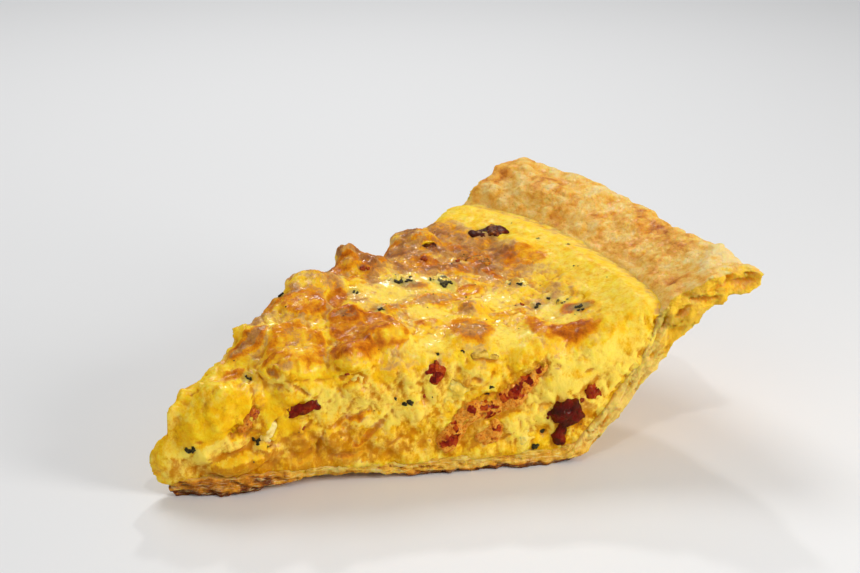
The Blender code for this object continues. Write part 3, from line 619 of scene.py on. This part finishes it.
def tear_and_bake(point, normal):
    """Moves the skin to its torn cuts and baked top, and presses it against the pastry where it touches it."""
    change = Vector()
    radius, _ = polar(point)
    bare = ease(0.1, 0.5, normal.z)
    for cut, seed in ((NEAR, 0), (FAR, FAR_SEED)):
        reach, height, depth = cut.read(point)
        facing = ease(0.2, 0.6, normal.dot(cut.out)) * (1 - ease(2.5, 4.5, depth))
        bare = max(bare, facing)
        if facing > 0:
            low = 1 - ease(3.6, 6.5, height)
            push = cut_relief(reach, height, seed)[0] * (1 - 0.4 * low) + 0.5 * low
            change += cut.out * push * MM * facing * ease(1, 5, reach)
            sag = max(0.0, 0.5 + 0.9 * ripple(Vector((reach, seed, 0)), 2.6, 4.0))
            sag *= facing * (1 - ease(4.0, 5.6, height)) * ease(3, 6, reach)
            change += Vector((0, 0, -sag)) * MM
    upward = ease(0.25, 0.7, normal.z)
    if upward > 0:
        change += Vector((0, 0, 1)) * top_relief(point) * MM * upward * (1 - ease(96, 100, radius))
    lip = ease(97.5, 100.5, radius) * ease(30.5, 33, point.z / MM)
    outwards = Vector((point.x - PIE_AXIS.x, point.y - PIE_AXIS.y, 0)).normalized()
    spread = 2.0 + 1.1 * ripple(point / MM, 4.5, 6.0)
    change += (outwards * spread - Vector((0, 0, 0.7 + 0.7 * lip))) * MM * lip
    by_cut = 1 - ease(0.5, 4.5, min(NEAR.read(point)[2], FAR.read(point)[2]))
    return change + normal * (0.45 + 0.9 * by_cut) * MM * (1 - bare)


# Darker amber places at the near cut, then paler ones: middle, half length, half height, tilt, edge, strength
AMBERS = [
    (31, 9.2, 10, 3.4, 2, 0.5, 0.95), (14.2, 6.6, 6.4, 2.3, 8, 0.3, 0.75), (3, 5.6, 4, 3, 0, 0.5, 0.5),
    (63, 9.4, 6, 4, 40, 0.5, 0.35), (76, 5.4, 5, 2.2, 0, 0.6, 0.25), (47, 7, 8, 2.6, 0, 0.7, 0.55),
    (61.0, 20.2, 2.2, 1.4, 0, 0.5, 0.6), (84.5, 11, 3, 5, 20, 0.6, 0.4), (17.6, 12.4, 2.6, 2, 0, 0.6, 0.4),
    (66, 14, 9, 3.0, 36, 0.5, 0.3), (24, 6.6, 5, 1.6, 0, 0.6, 0.4), (30, 5.0, 12, 2.2, 3, 0.6, 0.75),
    (86, 16, 2.0, 4, 30, 0.6, 0.2),
]
PALES = [
    (47, 17, 9, 6, 0, 0.7, 0.5), (12.4, 10.2, 4.6, 2.2, 0, 0.5, 1.0), (6.6, 9.4, 3, 1.8, 30, 0.5, 0.6),
    (58, 22, 5, 3.4, 10, 0.6, 0.6), (74.5, 13, 3, 5, -30, 0.6, 0.7), (38.6, 17.4, 4, 5, 0, 0.6, 0.4),
    (32, 17.8, 3.6, 3, 0, 0.7, 0.4), (71, 9, 4, 3, 0, 0.6, 0.5), (22, 22.6, 4, 2, 0, 0.6, 0.45),
    (8, 21.6, 7, 1.6, 40, 0.5, 0.6), (9.4, 4.6, 3, 1.4, 0, 0.5, 0.5), (82, 19, 9, 7, 20, 0.7, 1.1),
    (93, 25, 6, 6, 40, 0.6, 1.0), (8, 8, 7, 3, 0, 0.7, 0.4),
]


# Mould that shows through the top: radius and degrees, size
TOP_VEINS = [
    (59, 27.8, 2.0), (60.6, 27.2, 1.4), (67.4, 24, 2.0), (68.6, 23.6, 1.3), (82, 18.8, 1.9), (81.4, 18.2, 1.2),
    (86.2, 10.4, 1.5), (87.6, 6.9, 1.8), (86.6, 7.4, 1.2), (80.7, 11.9, 1.4), (48.4, 19.6, 1.4), (33.4, 42, 2.0),
    (84, 12.6, 1.1), (47.6, 29, 1.2), (65.8, 26, 1.0), (62, 28.6, 0.9), (98, 22, 0.7), (95, 26, 0.6), (16.8, 9, 1.3),
]
bacon_solids = copy_of([node_name for node_name in SET_IN if node_name.startswith("bacon")], "bacon_solids")
bacon_near_by = BVHTree.FromObject(bacon_solids, bpy.context.evaluated_depsgraph_get())
bpy.data.objects.remove(bacon_solids)
GREASE_REACHES = 2.4 * MM


def moulded(point):
    """How green the mould has turned the top round its veins."""
    radius, degrees = polar(point)
    reach, _, depth = NEAR.read(point)
    rag = 0.5 * ripple(Vector((reach, depth, 0)), 2.0, 5.0)
    green = 0.0
    for at_radius, at_degrees, size in TOP_VEINS:
        across = math.hypot(radius - at_radius, math.radians(degrees - at_degrees) * radius)
        green = max(green, 1 - ease(0.2, 1.3, across / (size * 1.3) + rag))
    return green


def cook(point, normal):
    """How brown the custard is, with painted shade in the pits of the near cut; how pale or dusty; and how amber, with
    painted shade in the crevices round the first slabs.
    """
    reach, depth, flat, radius, rag = top_place(point)
    local = (point - PIE_AXIS) / MM
    upward = ease(0.1, 0.5, normal.z)
    brown, dusty = 0.0, 0.0
    for row in BROWNED:
        inside = oval(reach, depth, (*row[:5], row[5] + 0.08), rag * 0.6)
        if inside > 0:
            core = oval(reach, depth, (*row[:2], row[2] - 1.6, row[3] - 1.3, row[4], 0.4), rag)
            uneven = 1 + 0.35 * ripple(flat, 3.2, 17.0)
            shade = inside * (row[9] * uneven + (row[7] - row[9] * uneven) * core)
            if shade > brown:
                brown, dusty = shade, row[8] * core
    brown *= ease(0.0, 0.35, normal.z)
    _, top_tone = curds(flat, 5.0)
    band = ease(86, 93, radius + 2.5 * ripple(flat, 7, 2.0))
    veil = 0.2 + 0.07 * (1 - ease(30, 55, reach)) + 0.12 * ease(8, 20, depth) + 0.3 * ease(24, 36, depth)
    veil += 0.32 * ripple(flat, 4.4, 8.0) + 0.1 * top_tone
    veil *= (1 - band) * ease(13, 20, reach)
    crusted = ease(96.5, 101.5, radius + 1.6 * ripple(flat, 3, 5.0)) * 0.3
    veil = max(veil, crusted) * ease(0.15, 0.5, normal.z)
    if veil > brown:
        brown, dusty = veil, 0.65 + 0.6 * ripple(flat, 5.0, 13.0)
    top_pale = max(oval(reach, depth, row, rag) for row in PALE_TOPS)
    brown -= 0.22 * top_pale * (1 - ease(0.4, 0.6, brown))
    pale = 0.3 + 0.3 * top_tone + 0.5 * top_pale + 0.18 * band
    pale += (dusty - pale) * ease(0.2, 0.35, brown)
    amber = 0.12 + 0.25 * ripple(flat, 5, 9.0)
    reach, height, depth = NEAR.read(point)
    facing = ease(0.1, 0.5, normal.dot(NEAR.out)) * (1 - ease(3, 5, depth))
    seed, cut_reach, cut_height = 0, reach, height
    if facing == 0:
        seed = FAR_SEED
        cut_reach, cut_height, _ = FAR.read(point)
    proud, smooth, tone = cut_relief(cut_reach, cut_height, seed)
    cut_pale = 0.34 + 0.5 * tone + 0.25 * ripple(local, 3.6, 3.0)
    cut_amber = 0.2 - 0.45 * tone + 0.25 * ripple(local, 6, 9.0)
    if facing > 0:
        spot = Vector((reach, height, 0))
        ragged = 0.35 * ripple(spot, 2.0, 3.0) + 0.22 * ripple(spot, 0.8, 5.0)
        cut_amber += sum(row[6] * oval(reach, height, row[:6], ragged) for row in AMBERS)
        cut_pale += sum(row[6] * oval(reach, height, row[:6], ragged) for row in PALES)
        # Painted shade: the crevices round the first slabs turn amber.
        cut_amber += 0.3 * max(slab_foot(row, reach, height, ragged) for row in SLABS[:SLABS_WITH_CREVICE])
    cut_pale -= 0.6 * smooth
    cut_amber -= 0.25 * smooth * (height > 9)
    rag = 0.2 * ripple(Vector((reach, height, 0)), 1.4, 1.0) + 0.3 * ripple(Vector((reach, height, 0)), 0.8, 2.0)
    # Painted shade: the pits and slits of the near cut get brown, carried in the first share.
    pitted = facing * max(oval(reach, height, row[:6], rag * 2) * (0.12 + 0.18 * row[6]) for row in PITS)
    gap = bacon_near_by.find_nearest(point, GREASE_REACHES)[3]
    greasy = 0.0 if gap is None else 1 - ease(0.2, 1.5, gap / MM + 0.9 * ripple(local, 1.3, 2.0))
    cut_amber += 0.45 * greasy
    return (
        max(brown, pitted, 0.0),
        min(0.85, max(0.0, cut_pale + (pale - cut_pale) * upward)),
        min(0.8, max(0.0, cut_amber + (amber - cut_amber) * upward)),
    )


def inwards(place):
    """The way into the custard from the cut or top that a piece at this place shows on."""
    near_depth = NEAR.read(place)[2]
    far_depth = FAR.read(place)[2]
    if min(near_depth, far_depth) > 8:
        return Vector((0, 0, -1))
    return NEAR.out * -1 if near_depth < far_depth else FAR.out * -1


custard = copy_of(["custard"], "custard_cut_and_baked")
pocket_fill = copy_of(SET_IN, "pocket_fill")
carve(pocket_fill, lambda place, normal: normal * FATTENED + inwards(place) * SUNK)
select_only(custard)
pocket_fill.select_set(True)
bpy.ops.object.join()
even_out(custard, CUSTARD_VOXEL)
ROUNDING_ROUNDS = 36
rounding = custard.vertex_groups.new(name="rounding")
for vertex in custard.data.vertices:
    radius, degrees = polar(vertex.co)
    edge_by_crust = ease(52, 62, radius) * (1 - ease(22, 32, degrees)) * (1 - ease(96, 99, radius))
    rounding.add([vertex.index], 0.3 + 0.7 * edge_by_crust, "REPLACE")
soften = custard.modifiers.new("soften", "SMOOTH")
soften.iterations = ROUNDING_ROUNDS
soften.vertex_group = "rounding"
bpy.ops.object.modifier_apply(modifier=soften.name)
carve(custard, tear_and_bake)
stain(custard, "cook", cook)
mould = custard.data.attributes.new("mould", "FLOAT", "POINT")
for vertex, entry in zip(custard.data.vertices, mould.data):
    entry.value = moulded(vertex.co) * ease(0.3, 0.7, vertex.normal.z)

material, surface, place, normal = food_material(
    "set_egg_custard",
    {
        "Subsurface Weight": 0.5,
        "Subsurface Radius": (1.0, 0.5, 0.05),
        "Subsurface Scale": 0.0016,
        "Specular IOR Level": 0.04,
        "Coat Roughness": 0.2,
    },
)
shares = place.node("Attribute", {"attribute_name": "cook"}, {}, "Vector")
sunk = Shade(shares.socket.node.outputs["Alpha"])
brown_and_painted_shade = shares.node("SeparateXYZ", {}, {"Vector": shares}, "X")
pale = Shade(brown_and_painted_shade.socket.node.outputs["Y"])
amber = Shade(brown_and_painted_shade.socket.node.outputs["Z"])
mottle = place.grain(2.0, 3, 0.6)
from_axis = place.node("VectorMath", {"operation": "DISTANCE"}, {0: place, 1: tuple(PIE_AXIS)}, "Value")
inner = 1.0 - from_axis.between(0.084, 0.093)
fleck = 0.5 + (place.grain(0.5, 3, 0.7) - 0.5) * (0.35 + inner * 0.65)
crumb = place.pulled(0.8).patches(0.95)
yolk = mottle.ramp((0.32, (0.90, 0.45, 0.003)), (0.5, (0.97, 0.56, 0.006)), (0.68, (1.0, 0.69, 0.025)))
streak = place.node("Mapping", {}, {"Vector": place, "Rotation": (0, 0.35, 0), "Scale": (1, 1, 0.4)}).grain(1.3, 3, 0.6)
pale_share = (pale + (fleck - 0.5) * 0.7 + (streak - 0.5) * 1.3 + (crumb - 0.5) * 0.25).between(0.15, 0.95)
colour = yolk.towards((1.0, 0.745, 0.12, 1), pale_share * 0.85)
# The sunk term is painted shade: sunken places turn amber.
amber_share = (amber - (fleck - 0.5) * 0.9 - (streak - 0.5) * 1.2 + sunk * 0.8).between(0.1, 1.0)
colour = colour.towards((0.57, 0.195, 0.001, 1), amber_share * 0.85)
cloud = place.pulled(0.7).grain(1.8, 3, 0.55)
skin = brown_and_painted_shade + ((fleck - 0.5) * 0.3 + (cloud - 0.5) * 0.9) * brown_and_painted_shade.between(0.0, 0.3)
browns = skin.ramp(
    (0.12, (0.97, 0.63, 0.045)), (0.28, (0.90, 0.48, 0.018)), (0.44, (0.80, 0.32, 0.005)), (0.6, (0.64, 0.19, 0.002)),
    (0.78, (0.42, 0.09, 0.001)),
    (1.0, (0.12, 0.025, 0.001)),
)
dust = skin.ramp((0.15, (0.88, 0.61, 0.19)), (0.45, (0.62, 0.36, 0.11)), (0.8, (0.31, 0.12, 0.03)))
glaze = (pale + (cloud - 0.5) * 1.6 + (fleck - 0.5) * 0.5).between(0.3, 0.8)
browns = browns.towards(dust, glaze * 0.8)
colour = colour.towards(browns, skin.between(0.0, 0.5))
green = place.node("Attribute", {"attribute_name": "mould"}, {}, "Fac")
colour = colour.towards((0.40, 0.34, 0.08, 1), (green + (fleck - 0.5) * 0.9 * green).between(0.1, 1.0) * 0.6)
# Painted shade: sunken places darken to a deep orange.
colour = colour.towards((0.60, 0.20, 0.001, 1), sunk.between(0.02, 0.24) * 0.75)
# Painted highlight: raised places turn pale lemon, except where brown.
raised = (0.0 - sunk).between(0.04, 0.3)
colour = colour.towards((1.0, 0.76, 0.15, 1), raised * 0.45 * (1.0 - brown_and_painted_shade.between(0.3, 0.6)))
grit_relief = place.grain(0.5, 3, 0.7) * (0.4 + brown_and_painted_shade.between(0.15, 0.5) * 0.6)
feed(
    surface,
    base_color=colour,
    roughness=0.4 + place.grain(1.3, 2) * 0.3,
    coat_weight=0.05 + place.grain(2.4, 2).between(0.4, 0.62) * 0.34 * inner,
    normal=normal.bump(place.grain(1.0, 4, 0.6), 0.16).bump(grit_relief, 0.22),
)
put_on(custard, material)
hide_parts("custard")
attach(custard, "root")

# Bacon: streaky rashers fried, then chopped before they went into the custard. Lean meat is dark red, the fat and rind
# amber. The knife sliced some pieces, and the ones on top are nearly black at their edges.

PIECE_VOXEL = 0.25 * MM
# Lean spots at the near cut: reach, height, half size. The rest of the strip and of the flesh is fat
LEANS = [
    (55.6, 7.0, 0.8), (57.6, 7.8, 1.3), (58.0, 10.6, 0.9), (61.2, 14.2, 1.0), (65.2, 13.6, 1.4), (68, 16, 0.9),
    (70.4, 17.4, 1.5), (73, 20.3, 1.3), (75.4, 21.8, 1.1), (66.6, 9.4, 0.8),
]
# How lean each piece is where no spot is named, how dark, and how far it swells out in millimetres
BACON = {
    "bacon_tip": (0.3, 0.15, 0.3), "bacon_left": (1.0, 0.62, 0.12), "bacon_ruby": (0.85, 0.1, 0.3),
    "bacon_strip": (0.22, 0.15, 0.45), "bacon_flesh": (0.1, 0.0, 0.5), "bacon_burgundy": (1.0, 0.75, 0.3),
    "bacon_wall": (0.95, 0.45, 0.1), "bacon_top_crust": (0.6, 0.85, 0.3), "bacon_top_edge": (0.6, 0.9, 0.3),
    "bacon_top_streak": (0.35, 0.6, 0.3), "bacon_far_tip": (0.6, 0.4, 0.3), "bacon_far_middle": (0.8, 0.5, 0.3),
    "bacon_far_crust": (0.9, 0.7, 0.3),
}


def set_in(depth, swell, amount, seed):
    """A push that sinks a piece into the custard and roughens it, so that the custard closes raggedly round it."""

    def push(point, normal):
        local = (point - PIE_AXIS) / MM
        rough = 0.55 * ripple(local, 2.6, seed) + 0.45 * ripple(local, 1.1, seed + 3) + 0.2 * ripple(local, 0.5, seed)
        return (normal * (swell + amount * rough) + inwards(point) * depth) * MM

    return push


def bed(node_name, cooked, push):
    """A finely netted copy of one piece's solid, named for how it was cooked and pushed into the custard."""
    piece = copy_of([node_name], node_name + cooked)
    even_out(piece, PIECE_VOXEL)
    carve(piece, push)
    return piece


def lean_and_dark(lean, dark, seed):
    """A mix of how lean and how dark the meat is, with its named lean spots."""

    def mix(point, _normal):
        reach, height, depth = NEAR.read(point)
        local = (point - PIE_AXIS) / MM
        rag = 0.8 * ripple(local, 1.6, 4.0) + 0.5 * ripple(local, 0.7, 7.0)
        spots = 0.0
        if depth < 4:
            spots = max(1 - ease(0.7, 1.1, math.dist((reach, height), row[:2]) / row[2] + rag * 1.3) for row in LEANS)
        streak = ripple(Vector((local.x * 0.5, local.y * 0.5, local.z * 1.6)), 2.2, seed)
        return max(spots, min(1.0, max(0.0, lean + 0.35 * streak))), min(1.0, max(0.0, dark + 0.3 * streak)), 0

    return mix


material, surface, place, normal = food_material(
    "fried_bacon",
    {
        "Subsurface Weight": 0.2,
        "Subsurface Radius": (1.0, 0.12, 0.02),
        "Subsurface Scale": 0.001,
        "Specular IOR Level": 0.06,
        "Coat Weight": 0.16,
        "Coat Roughness": 0.08,
    },
)
shares = place.node("Attribute", {"attribute_name": "meat"}, {}, "Vector")
sunk = Shade(shares.socket.node.outputs["Alpha"])
lean = shares.node("SeparateXYZ", {}, {"Vector": shares}, "X")
dark = Shade(lean.socket.node.outputs["Y"])
fibre = place.grain(0.8, 4, 0.65)
facet = place.pulled(0.5).patches(1.3)
fat = fibre.ramp((0.3, (0.44, 0.05, 0.002)), (0.45, (0.78, 0.26, 0.012)), (0.6, (0.92, 0.47, 0.06)))
meat = (fibre * 0.6 + facet * 0.4).ramp(
    (0.28, (0.09, 0.002, 0.0)), (0.48, (0.30, 0.012, 0.0)), (0.68, (0.62, 0.10, 0.005))
)
colour = fat.towards(meat, (lean + (fibre - 0.5) * 1.4).between(0.3, 0.6))
charred = (dark + (fibre - 0.5) * 0.9 + (facet - 0.5) * 0.6).between(0.35, 1.0)
colour = colour.towards((0.02, 0.001, 0.0, 1), charred * 0.9)
# Painted shade: sunken places darken to near black.
colour = colour.towards((0.03, 0.002, 0.001, 1), sunk.between(0.02, 0.2) * 0.7)
feed(
    surface,
    base_color=colour,
    roughness=0.3 + fibre * 0.35,
    normal=normal.bump(facet, 0.35, 0.6).bump(place.grain(0.6, 4, 0.65), 0.5),
)
for seed, (node_name, (lean_share, dark_share, swelling)) in enumerate(BACON.items()):
    rasher = bed(node_name, "_fried", set_in(0.55, swelling, 0.8, seed * 2.3))
    stain(rasher, "meat", lean_and_dark(lean_share, dark_share, seed * 1.9))
    put_on(rasher, material)
    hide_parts(node_name)
    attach(rasher, "root")

# Blue cheese: crumbled in, so half of it has melted to a pale cream and half stands as soft crumbs. The mould's veins
# stay as blue-black and grey-green marks.

CHEESE = [node_name for node_name in SET_IN if node_name.startswith("cheese")]
material, surface, place, normal = food_material(
    "half_melted_blue_cheese",
    {
        "Subsurface Weight": 0.12,
        "Subsurface Radius": (1.0, 0.6, 0.2),
        "Subsurface Scale": 0.0012,
        "Specular IOR Level": 0.25,
        "Coat Weight": 0.35,
        "Coat Roughness": 0.15,
    },
)
marbling = place.grain(1.6, 4, 0.65)
cream = place.grain(1.6, 3, 0.6).ramp((0.32, (0.90, 0.55, 0.02)), (0.5, (0.97, 0.69, 0.08)), (0.68, (1.0, 0.80, 0.20)))
colour = cream.towards((0.46, 0.36, 0.07, 1), marbling.between(0.54, 0.68) * 0.6)
height = place.node("SeparateXYZ", {}, {"Vector": place}, "Z")
veined = place.grain(2.2, 3, 0.55).between(0.55, 0.6) * height.between(0.0265, 0.029)
colour = colour.towards((0.03, 0.035, 0.03, 1), veined * 0.85)
feed(
    surface,
    base_color=colour,
    roughness=0.35 + marbling * 0.3,
    normal=normal.bump(place.grain(0.8, 4, 0.65), 0.4),
)
for seed, node_name in enumerate(CHEESE):
    crumb = bed(node_name, "_melted", set_in(0.95, 0.3, 1.2, 30 + seed * 2.1))
    put_on(crumb, material)
    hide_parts(node_name)
    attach(crumb, "root")

# Onion: sliced thin and sweated before baking, so it is limp, translucent and faintly ribbed.

# How deep each sliver is set in, and its darkest, middle and palest tones
ONION = {
    "onion_tip": (1.0, (0.80, 0.52, 0.08), (0.98, 0.74, 0.22), (1.0, 0.82, 0.34)),
    # The curl's darker brown tones are partly its own colour and partly painted shadow, the thin shadow line beneath
    # it.
    "onion_curl": (0.9, (0.34, 0.16, 0.01), (0.54, 0.29, 0.02), (0.85, 0.55, 0.08)),
}
for seed, (node_name, (set_depth, dark_tone, tone, pale_tone)) in enumerate(ONION.items()):
    material, surface, place, normal = food_material(
        node_name + "_sweated",
        {
            "Subsurface Weight": 0.2,
            "Subsurface Radius": (1.0, 0.6, 0.2),
            "Subsurface Scale": 0.002,
            "Specular IOR Level": 0.15,
            "Coat Weight": 0.06,
            "Coat Roughness": 0.12,
        },
    )
    limp = place.grain(1.6, 3, 0.6)
    colour = limp.ramp((0.36, dark_tone), (0.48, tone), (0.62, pale_tone))
    feed(surface, base_color=colour, roughness=0.3 + limp * 0.2, normal=normal.bump(limp, 0.3))
    sliver = bed(node_name, "_sweated", set_in(set_depth, 0.1, 0.35, 70 + seed * 3.1))
    put_on(sliver, material)
    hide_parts(node_name)
    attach(sliver, "root")

# Specks: chopped herbs, coarse pepper, mould from the cheese and bacon crumbs, half sunk in the custard where they
# show. The named ones lie where the photo has them, and a seeded scatter carries them on round the slice.

graph = bpy.context.evaluated_depsgraph_get()
custard_skin = BVHTree.FromObject(custard, graph)
draw = random.Random(17)
ABOVE = 60 * MM


def on_cut(cut, reach, height):
    """The point of the custard's skin straight in from this place of a cut, and the skin's normal."""
    start = cut.place(reach, height, 12)
    hit, normal, _, _ = custard_skin.ray_cast(start, -cut.out)
    return hit, normal


def on_top_of(radius, degrees):
    """The point of the custard's skin straight below this place of the top, and the skin's normal."""
    angle = math.radians(degrees) - HALF_SLICE
    start = PIE_AXIS + Vector((math.cos(angle), math.sin(angle), 0)) * radius * MM + Vector((0, 0, ABOVE))
    hit, normal, _, _ = custard_skin.ray_cast(start, Vector((0, 0, -1)))
    return hit, normal


def chip(name, proportions):
    """An uneven chip about a millimetre across, modelled once and copied to every place."""
    bpy.ops.object.select_all(action="DESELECT")
    bpy.ops.mesh.primitive_ico_sphere_add(subdivisions=1, radius=0.5 * MM, location=(0, 0, 0))
    made = bpy.context.active_object
    made.name = name
    bpy.ops.object.mode_set(mode="EDIT")
    bpy.ops.mesh.select_all(action="SELECT")
    bpy.ops.transform.resize(value=proportions)
    bpy.ops.transform.vertex_random(offset=0.2 * MM, seed=3)
    bpy.ops.mesh.normals_make_consistent(inside=False)
    bpy.ops.object.mode_set(mode="OBJECT")
    return made


def lay(pattern, spot, size, laid):
    """Lays a copy of the chip on the skin, so many millimetres large, its lower half sunk and turned at random."""
    hit, up = spot
    if hit is None:
        return
    copied = pattern.copy()
    copied.data = pattern.data.copy()
    bpy.context.scene.collection.objects.link(copied)
    turn = up.to_track_quat("Z", "Y").to_matrix().to_4x4()
    spin = Matrix.Rotation(draw.uniform(0, math.tau), 4, "Z")
    stretch = Matrix.Diagonal((size * draw.uniform(0.8, 1.4), size * draw.uniform(0.6, 1.1), size, 1))
    copied.matrix_world = Matrix.Translation(hit) @ turn @ spin @ stretch
    laid.append(copied)


def join_up(pattern, laid, material):
    """Joins the laid copies to one piece at the origin, under the pattern's name."""
    name = pattern.name
    bpy.data.objects.remove(pattern)
    select_only(laid[0])
    for copied in laid:
        copied.select_set(True)
    bpy.ops.object.join()
    joined = bpy.context.active_object
    joined.name = name
    bpy.ops.object.transform_apply(location=True, rotation=True, scale=True)
    put_on(joined, material)
    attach(joined, "root")


def speck_material(name, dark_colour, light_colour):
    material, surface, place, normal = food_material(name, {"Specular IOR Level": 0.1})
    tone = place.grain(0.6, 2)
    feed(
        surface,
        base_color=tone.ramp((0.3, dark_colour), (0.7, light_colour)),
        roughness=0.35 + tone * 0.3,
        normal=normal.bump(tone, 0.1),
    )
    return material


HERB_SPOTS = [
    (4.6, 10.5, 1.5), (17.8, 10.6, 1.6), (48.5, 16.5, 1.7), (65.6, 18.7, 1.1), (64.8, 17.0, 1.0), (76.9, 7.3, 1.5),
    (74.6, 4.6, 1.6), (54.8, 25.6, 0.8), (46, 17.4, 0.8), (5.0, 11.4, 0.9), (83.2, 9.6, 0.9), (60, 25.8, 0.7),
]
CHIPS_IN_A_SPOT = 4
SCATTERED = {"near cut": 9, "far cut": 60, "top": 36, "crumbs on the far cut": 14}
herb = chip("herb_and_mould_specks", (1.2, 0.8, 0.5))
laid = []
for reach, height, size in HERB_SPOTS:
    for _ in range(CHIPS_IN_A_SPOT):
        spot = on_cut(NEAR, reach + draw.gauss(0, size * 0.2), height + draw.gauss(0, size * 0.12))
        lay(herb, spot, size * draw.uniform(0.6, 0.9), laid)
for radius, degrees, size in TOP_VEINS:
    for _ in range(CHIPS_IN_A_SPOT):
        out, round_pie = draw.gauss(0, size * 0.25), draw.gauss(0, size * 0.25)
        spot = on_top_of(radius + out, degrees + math.degrees(round_pie / radius))
        lay(herb, spot, size * draw.uniform(0.5, 0.8), laid)
for _ in range(SCATTERED["near cut"]):
    lay(herb, on_cut(NEAR, draw.uniform(6, 88), draw.uniform(6, 24)), draw.uniform(0.25, 0.45), laid)
for _ in range(SCATTERED["far cut"]):
    lay(herb, on_cut(FAR, draw.uniform(6, 88), draw.uniform(6, 26)), draw.uniform(0.3, 1.0), laid)
for _ in range(SCATTERED["top"]):
    lay(herb, on_top_of(draw.uniform(14, 99), draw.uniform(3, 41)), draw.uniform(0.25, 0.5), laid)
join_up(herb, laid, speck_material("dark_green_herb", (0.010, 0.009, 0.004), (0.07, 0.055, 0.02)))

RED_SPOTS = [
    (27.3, 12.6, 1.1), (36.2, 23.8, 1.2), (51.9, 17.5, 1.2), (54.4, 24.3, 1.2), (55.6, 7.0, 1.2), (84.4, 14.2, 1.4),
    (79, 12.6, 1.4), (77.4, 10.9, 1.0), (80.2, 4.9, 1.3),
]
RED_ON_TOP = [(70.1, 32.6, 1.5), (54.1, 34.8, 1.6), (55, 34, 1.2), (78.4, 13.6, 1.2), (76.5, 29.6, 1.6)]
crumb = chip("bacon_crumbs", (1.1, 0.9, 0.7))
laid = []
for reach, height, size in RED_SPOTS:
    lay(crumb, on_cut(NEAR, reach, height), size, laid)
for radius, degrees, size in RED_ON_TOP:
    lay(crumb, on_top_of(radius, degrees), size, laid)
for _ in range(SCATTERED["crumbs on the far cut"]):
    lay(crumb, on_cut(FAR, draw.uniform(8, 84), draw.uniform(6, 24)), draw.uniform(0.6, 1.4), laid)
join_up(crumb, laid, speck_material("bacon_crumb", (0.13, 0.008, 0.002), (0.45, 0.08, 0.012)))

# Stage: a plain pale table top under a broad soft light from above, as in a food studio.

bpy.ops.object.select_all(action="DESELECT")
bpy.ops.mesh.primitive_plane_add(size=8, location=(0, 0, 0))
table = bpy.context.active_object
table.name = "table_top"
material, surface, place, normal = food_material("pale_table", {"Roughness": 0.55, "Base Color": (0.78, 0.78, 0.78, 1)})
table.data.materials.append(material)


def add_light(name, at, aim, size, power, colour):
    light = bpy.data.lights.new(name, "AREA")
    light.size = size
    light.energy = power
    light.color = colour
    lamp = bpy.data.objects.new(name, light)
    bpy.context.scene.collection.objects.link(lamp)
    lamp.location = at
    lamp.visible_camera = False
    lamp.rotation_euler = (Vector(aim) - Vector(at)).to_track_quat("-Z", "Y").to_euler()


MIDDLE = (0.01, 0, 0.02)
add_light("window", (0.21, -0.37, 0.21), MIDDLE, 0.18, 1.3, (1.0, 0.97, 0.93))
add_light("top_light", (0.05, 0.42, 0.62), MIDDLE, 0.3, 2.0, (1.0, 1.0, 1.0))
add_light("reflector", (-0.6, -0.35, 0.4), MIDDLE, 0.5, 0.7, (1.0, 0.98, 0.95))
add_light("small_lamp_behind", (0.26, 0.36, 0.36), MIDDLE, 0.03, 0.45, (1.0, 1.0, 1.0))
add_light("small_lamp_above", (-0.12, -0.34, 0.56), MIDDLE, 0.03, 0.45, (1.0, 1.0, 1.0))

world = bpy.data.worlds.new("studio")
world.use_nodes = True
world.node_tree.nodes["Background"].inputs["Color"].default_value = (0.95, 0.97, 1.0, 1)
world.node_tree.nodes["Background"].inputs["Strength"].default_value = 0.3
bpy.context.scene.world = world
bpy.context.scene.view_settings.view_transform = "Standard"

# Camera: a long lens a half metre off, a little above the slice and towards its point.

EYE = Vector((-0.2127, -0.3278, 0.1730))
AIM = Vector((0.0286, 0.0433, 0.0150))
lens = bpy.data.cameras.new("camera")
lens.sensor_width = 36
lens.lens = 83.7
lens.clip_end = 20
camera = bpy.data.objects.new("camera", lens)
bpy.context.scene.collection.objects.link(camera)
camera.location = EYE
camera.rotation_euler = (AIM - EYE).to_track_quat("-Z", "Y").to_euler()
bpy.context.scene.camera = camera
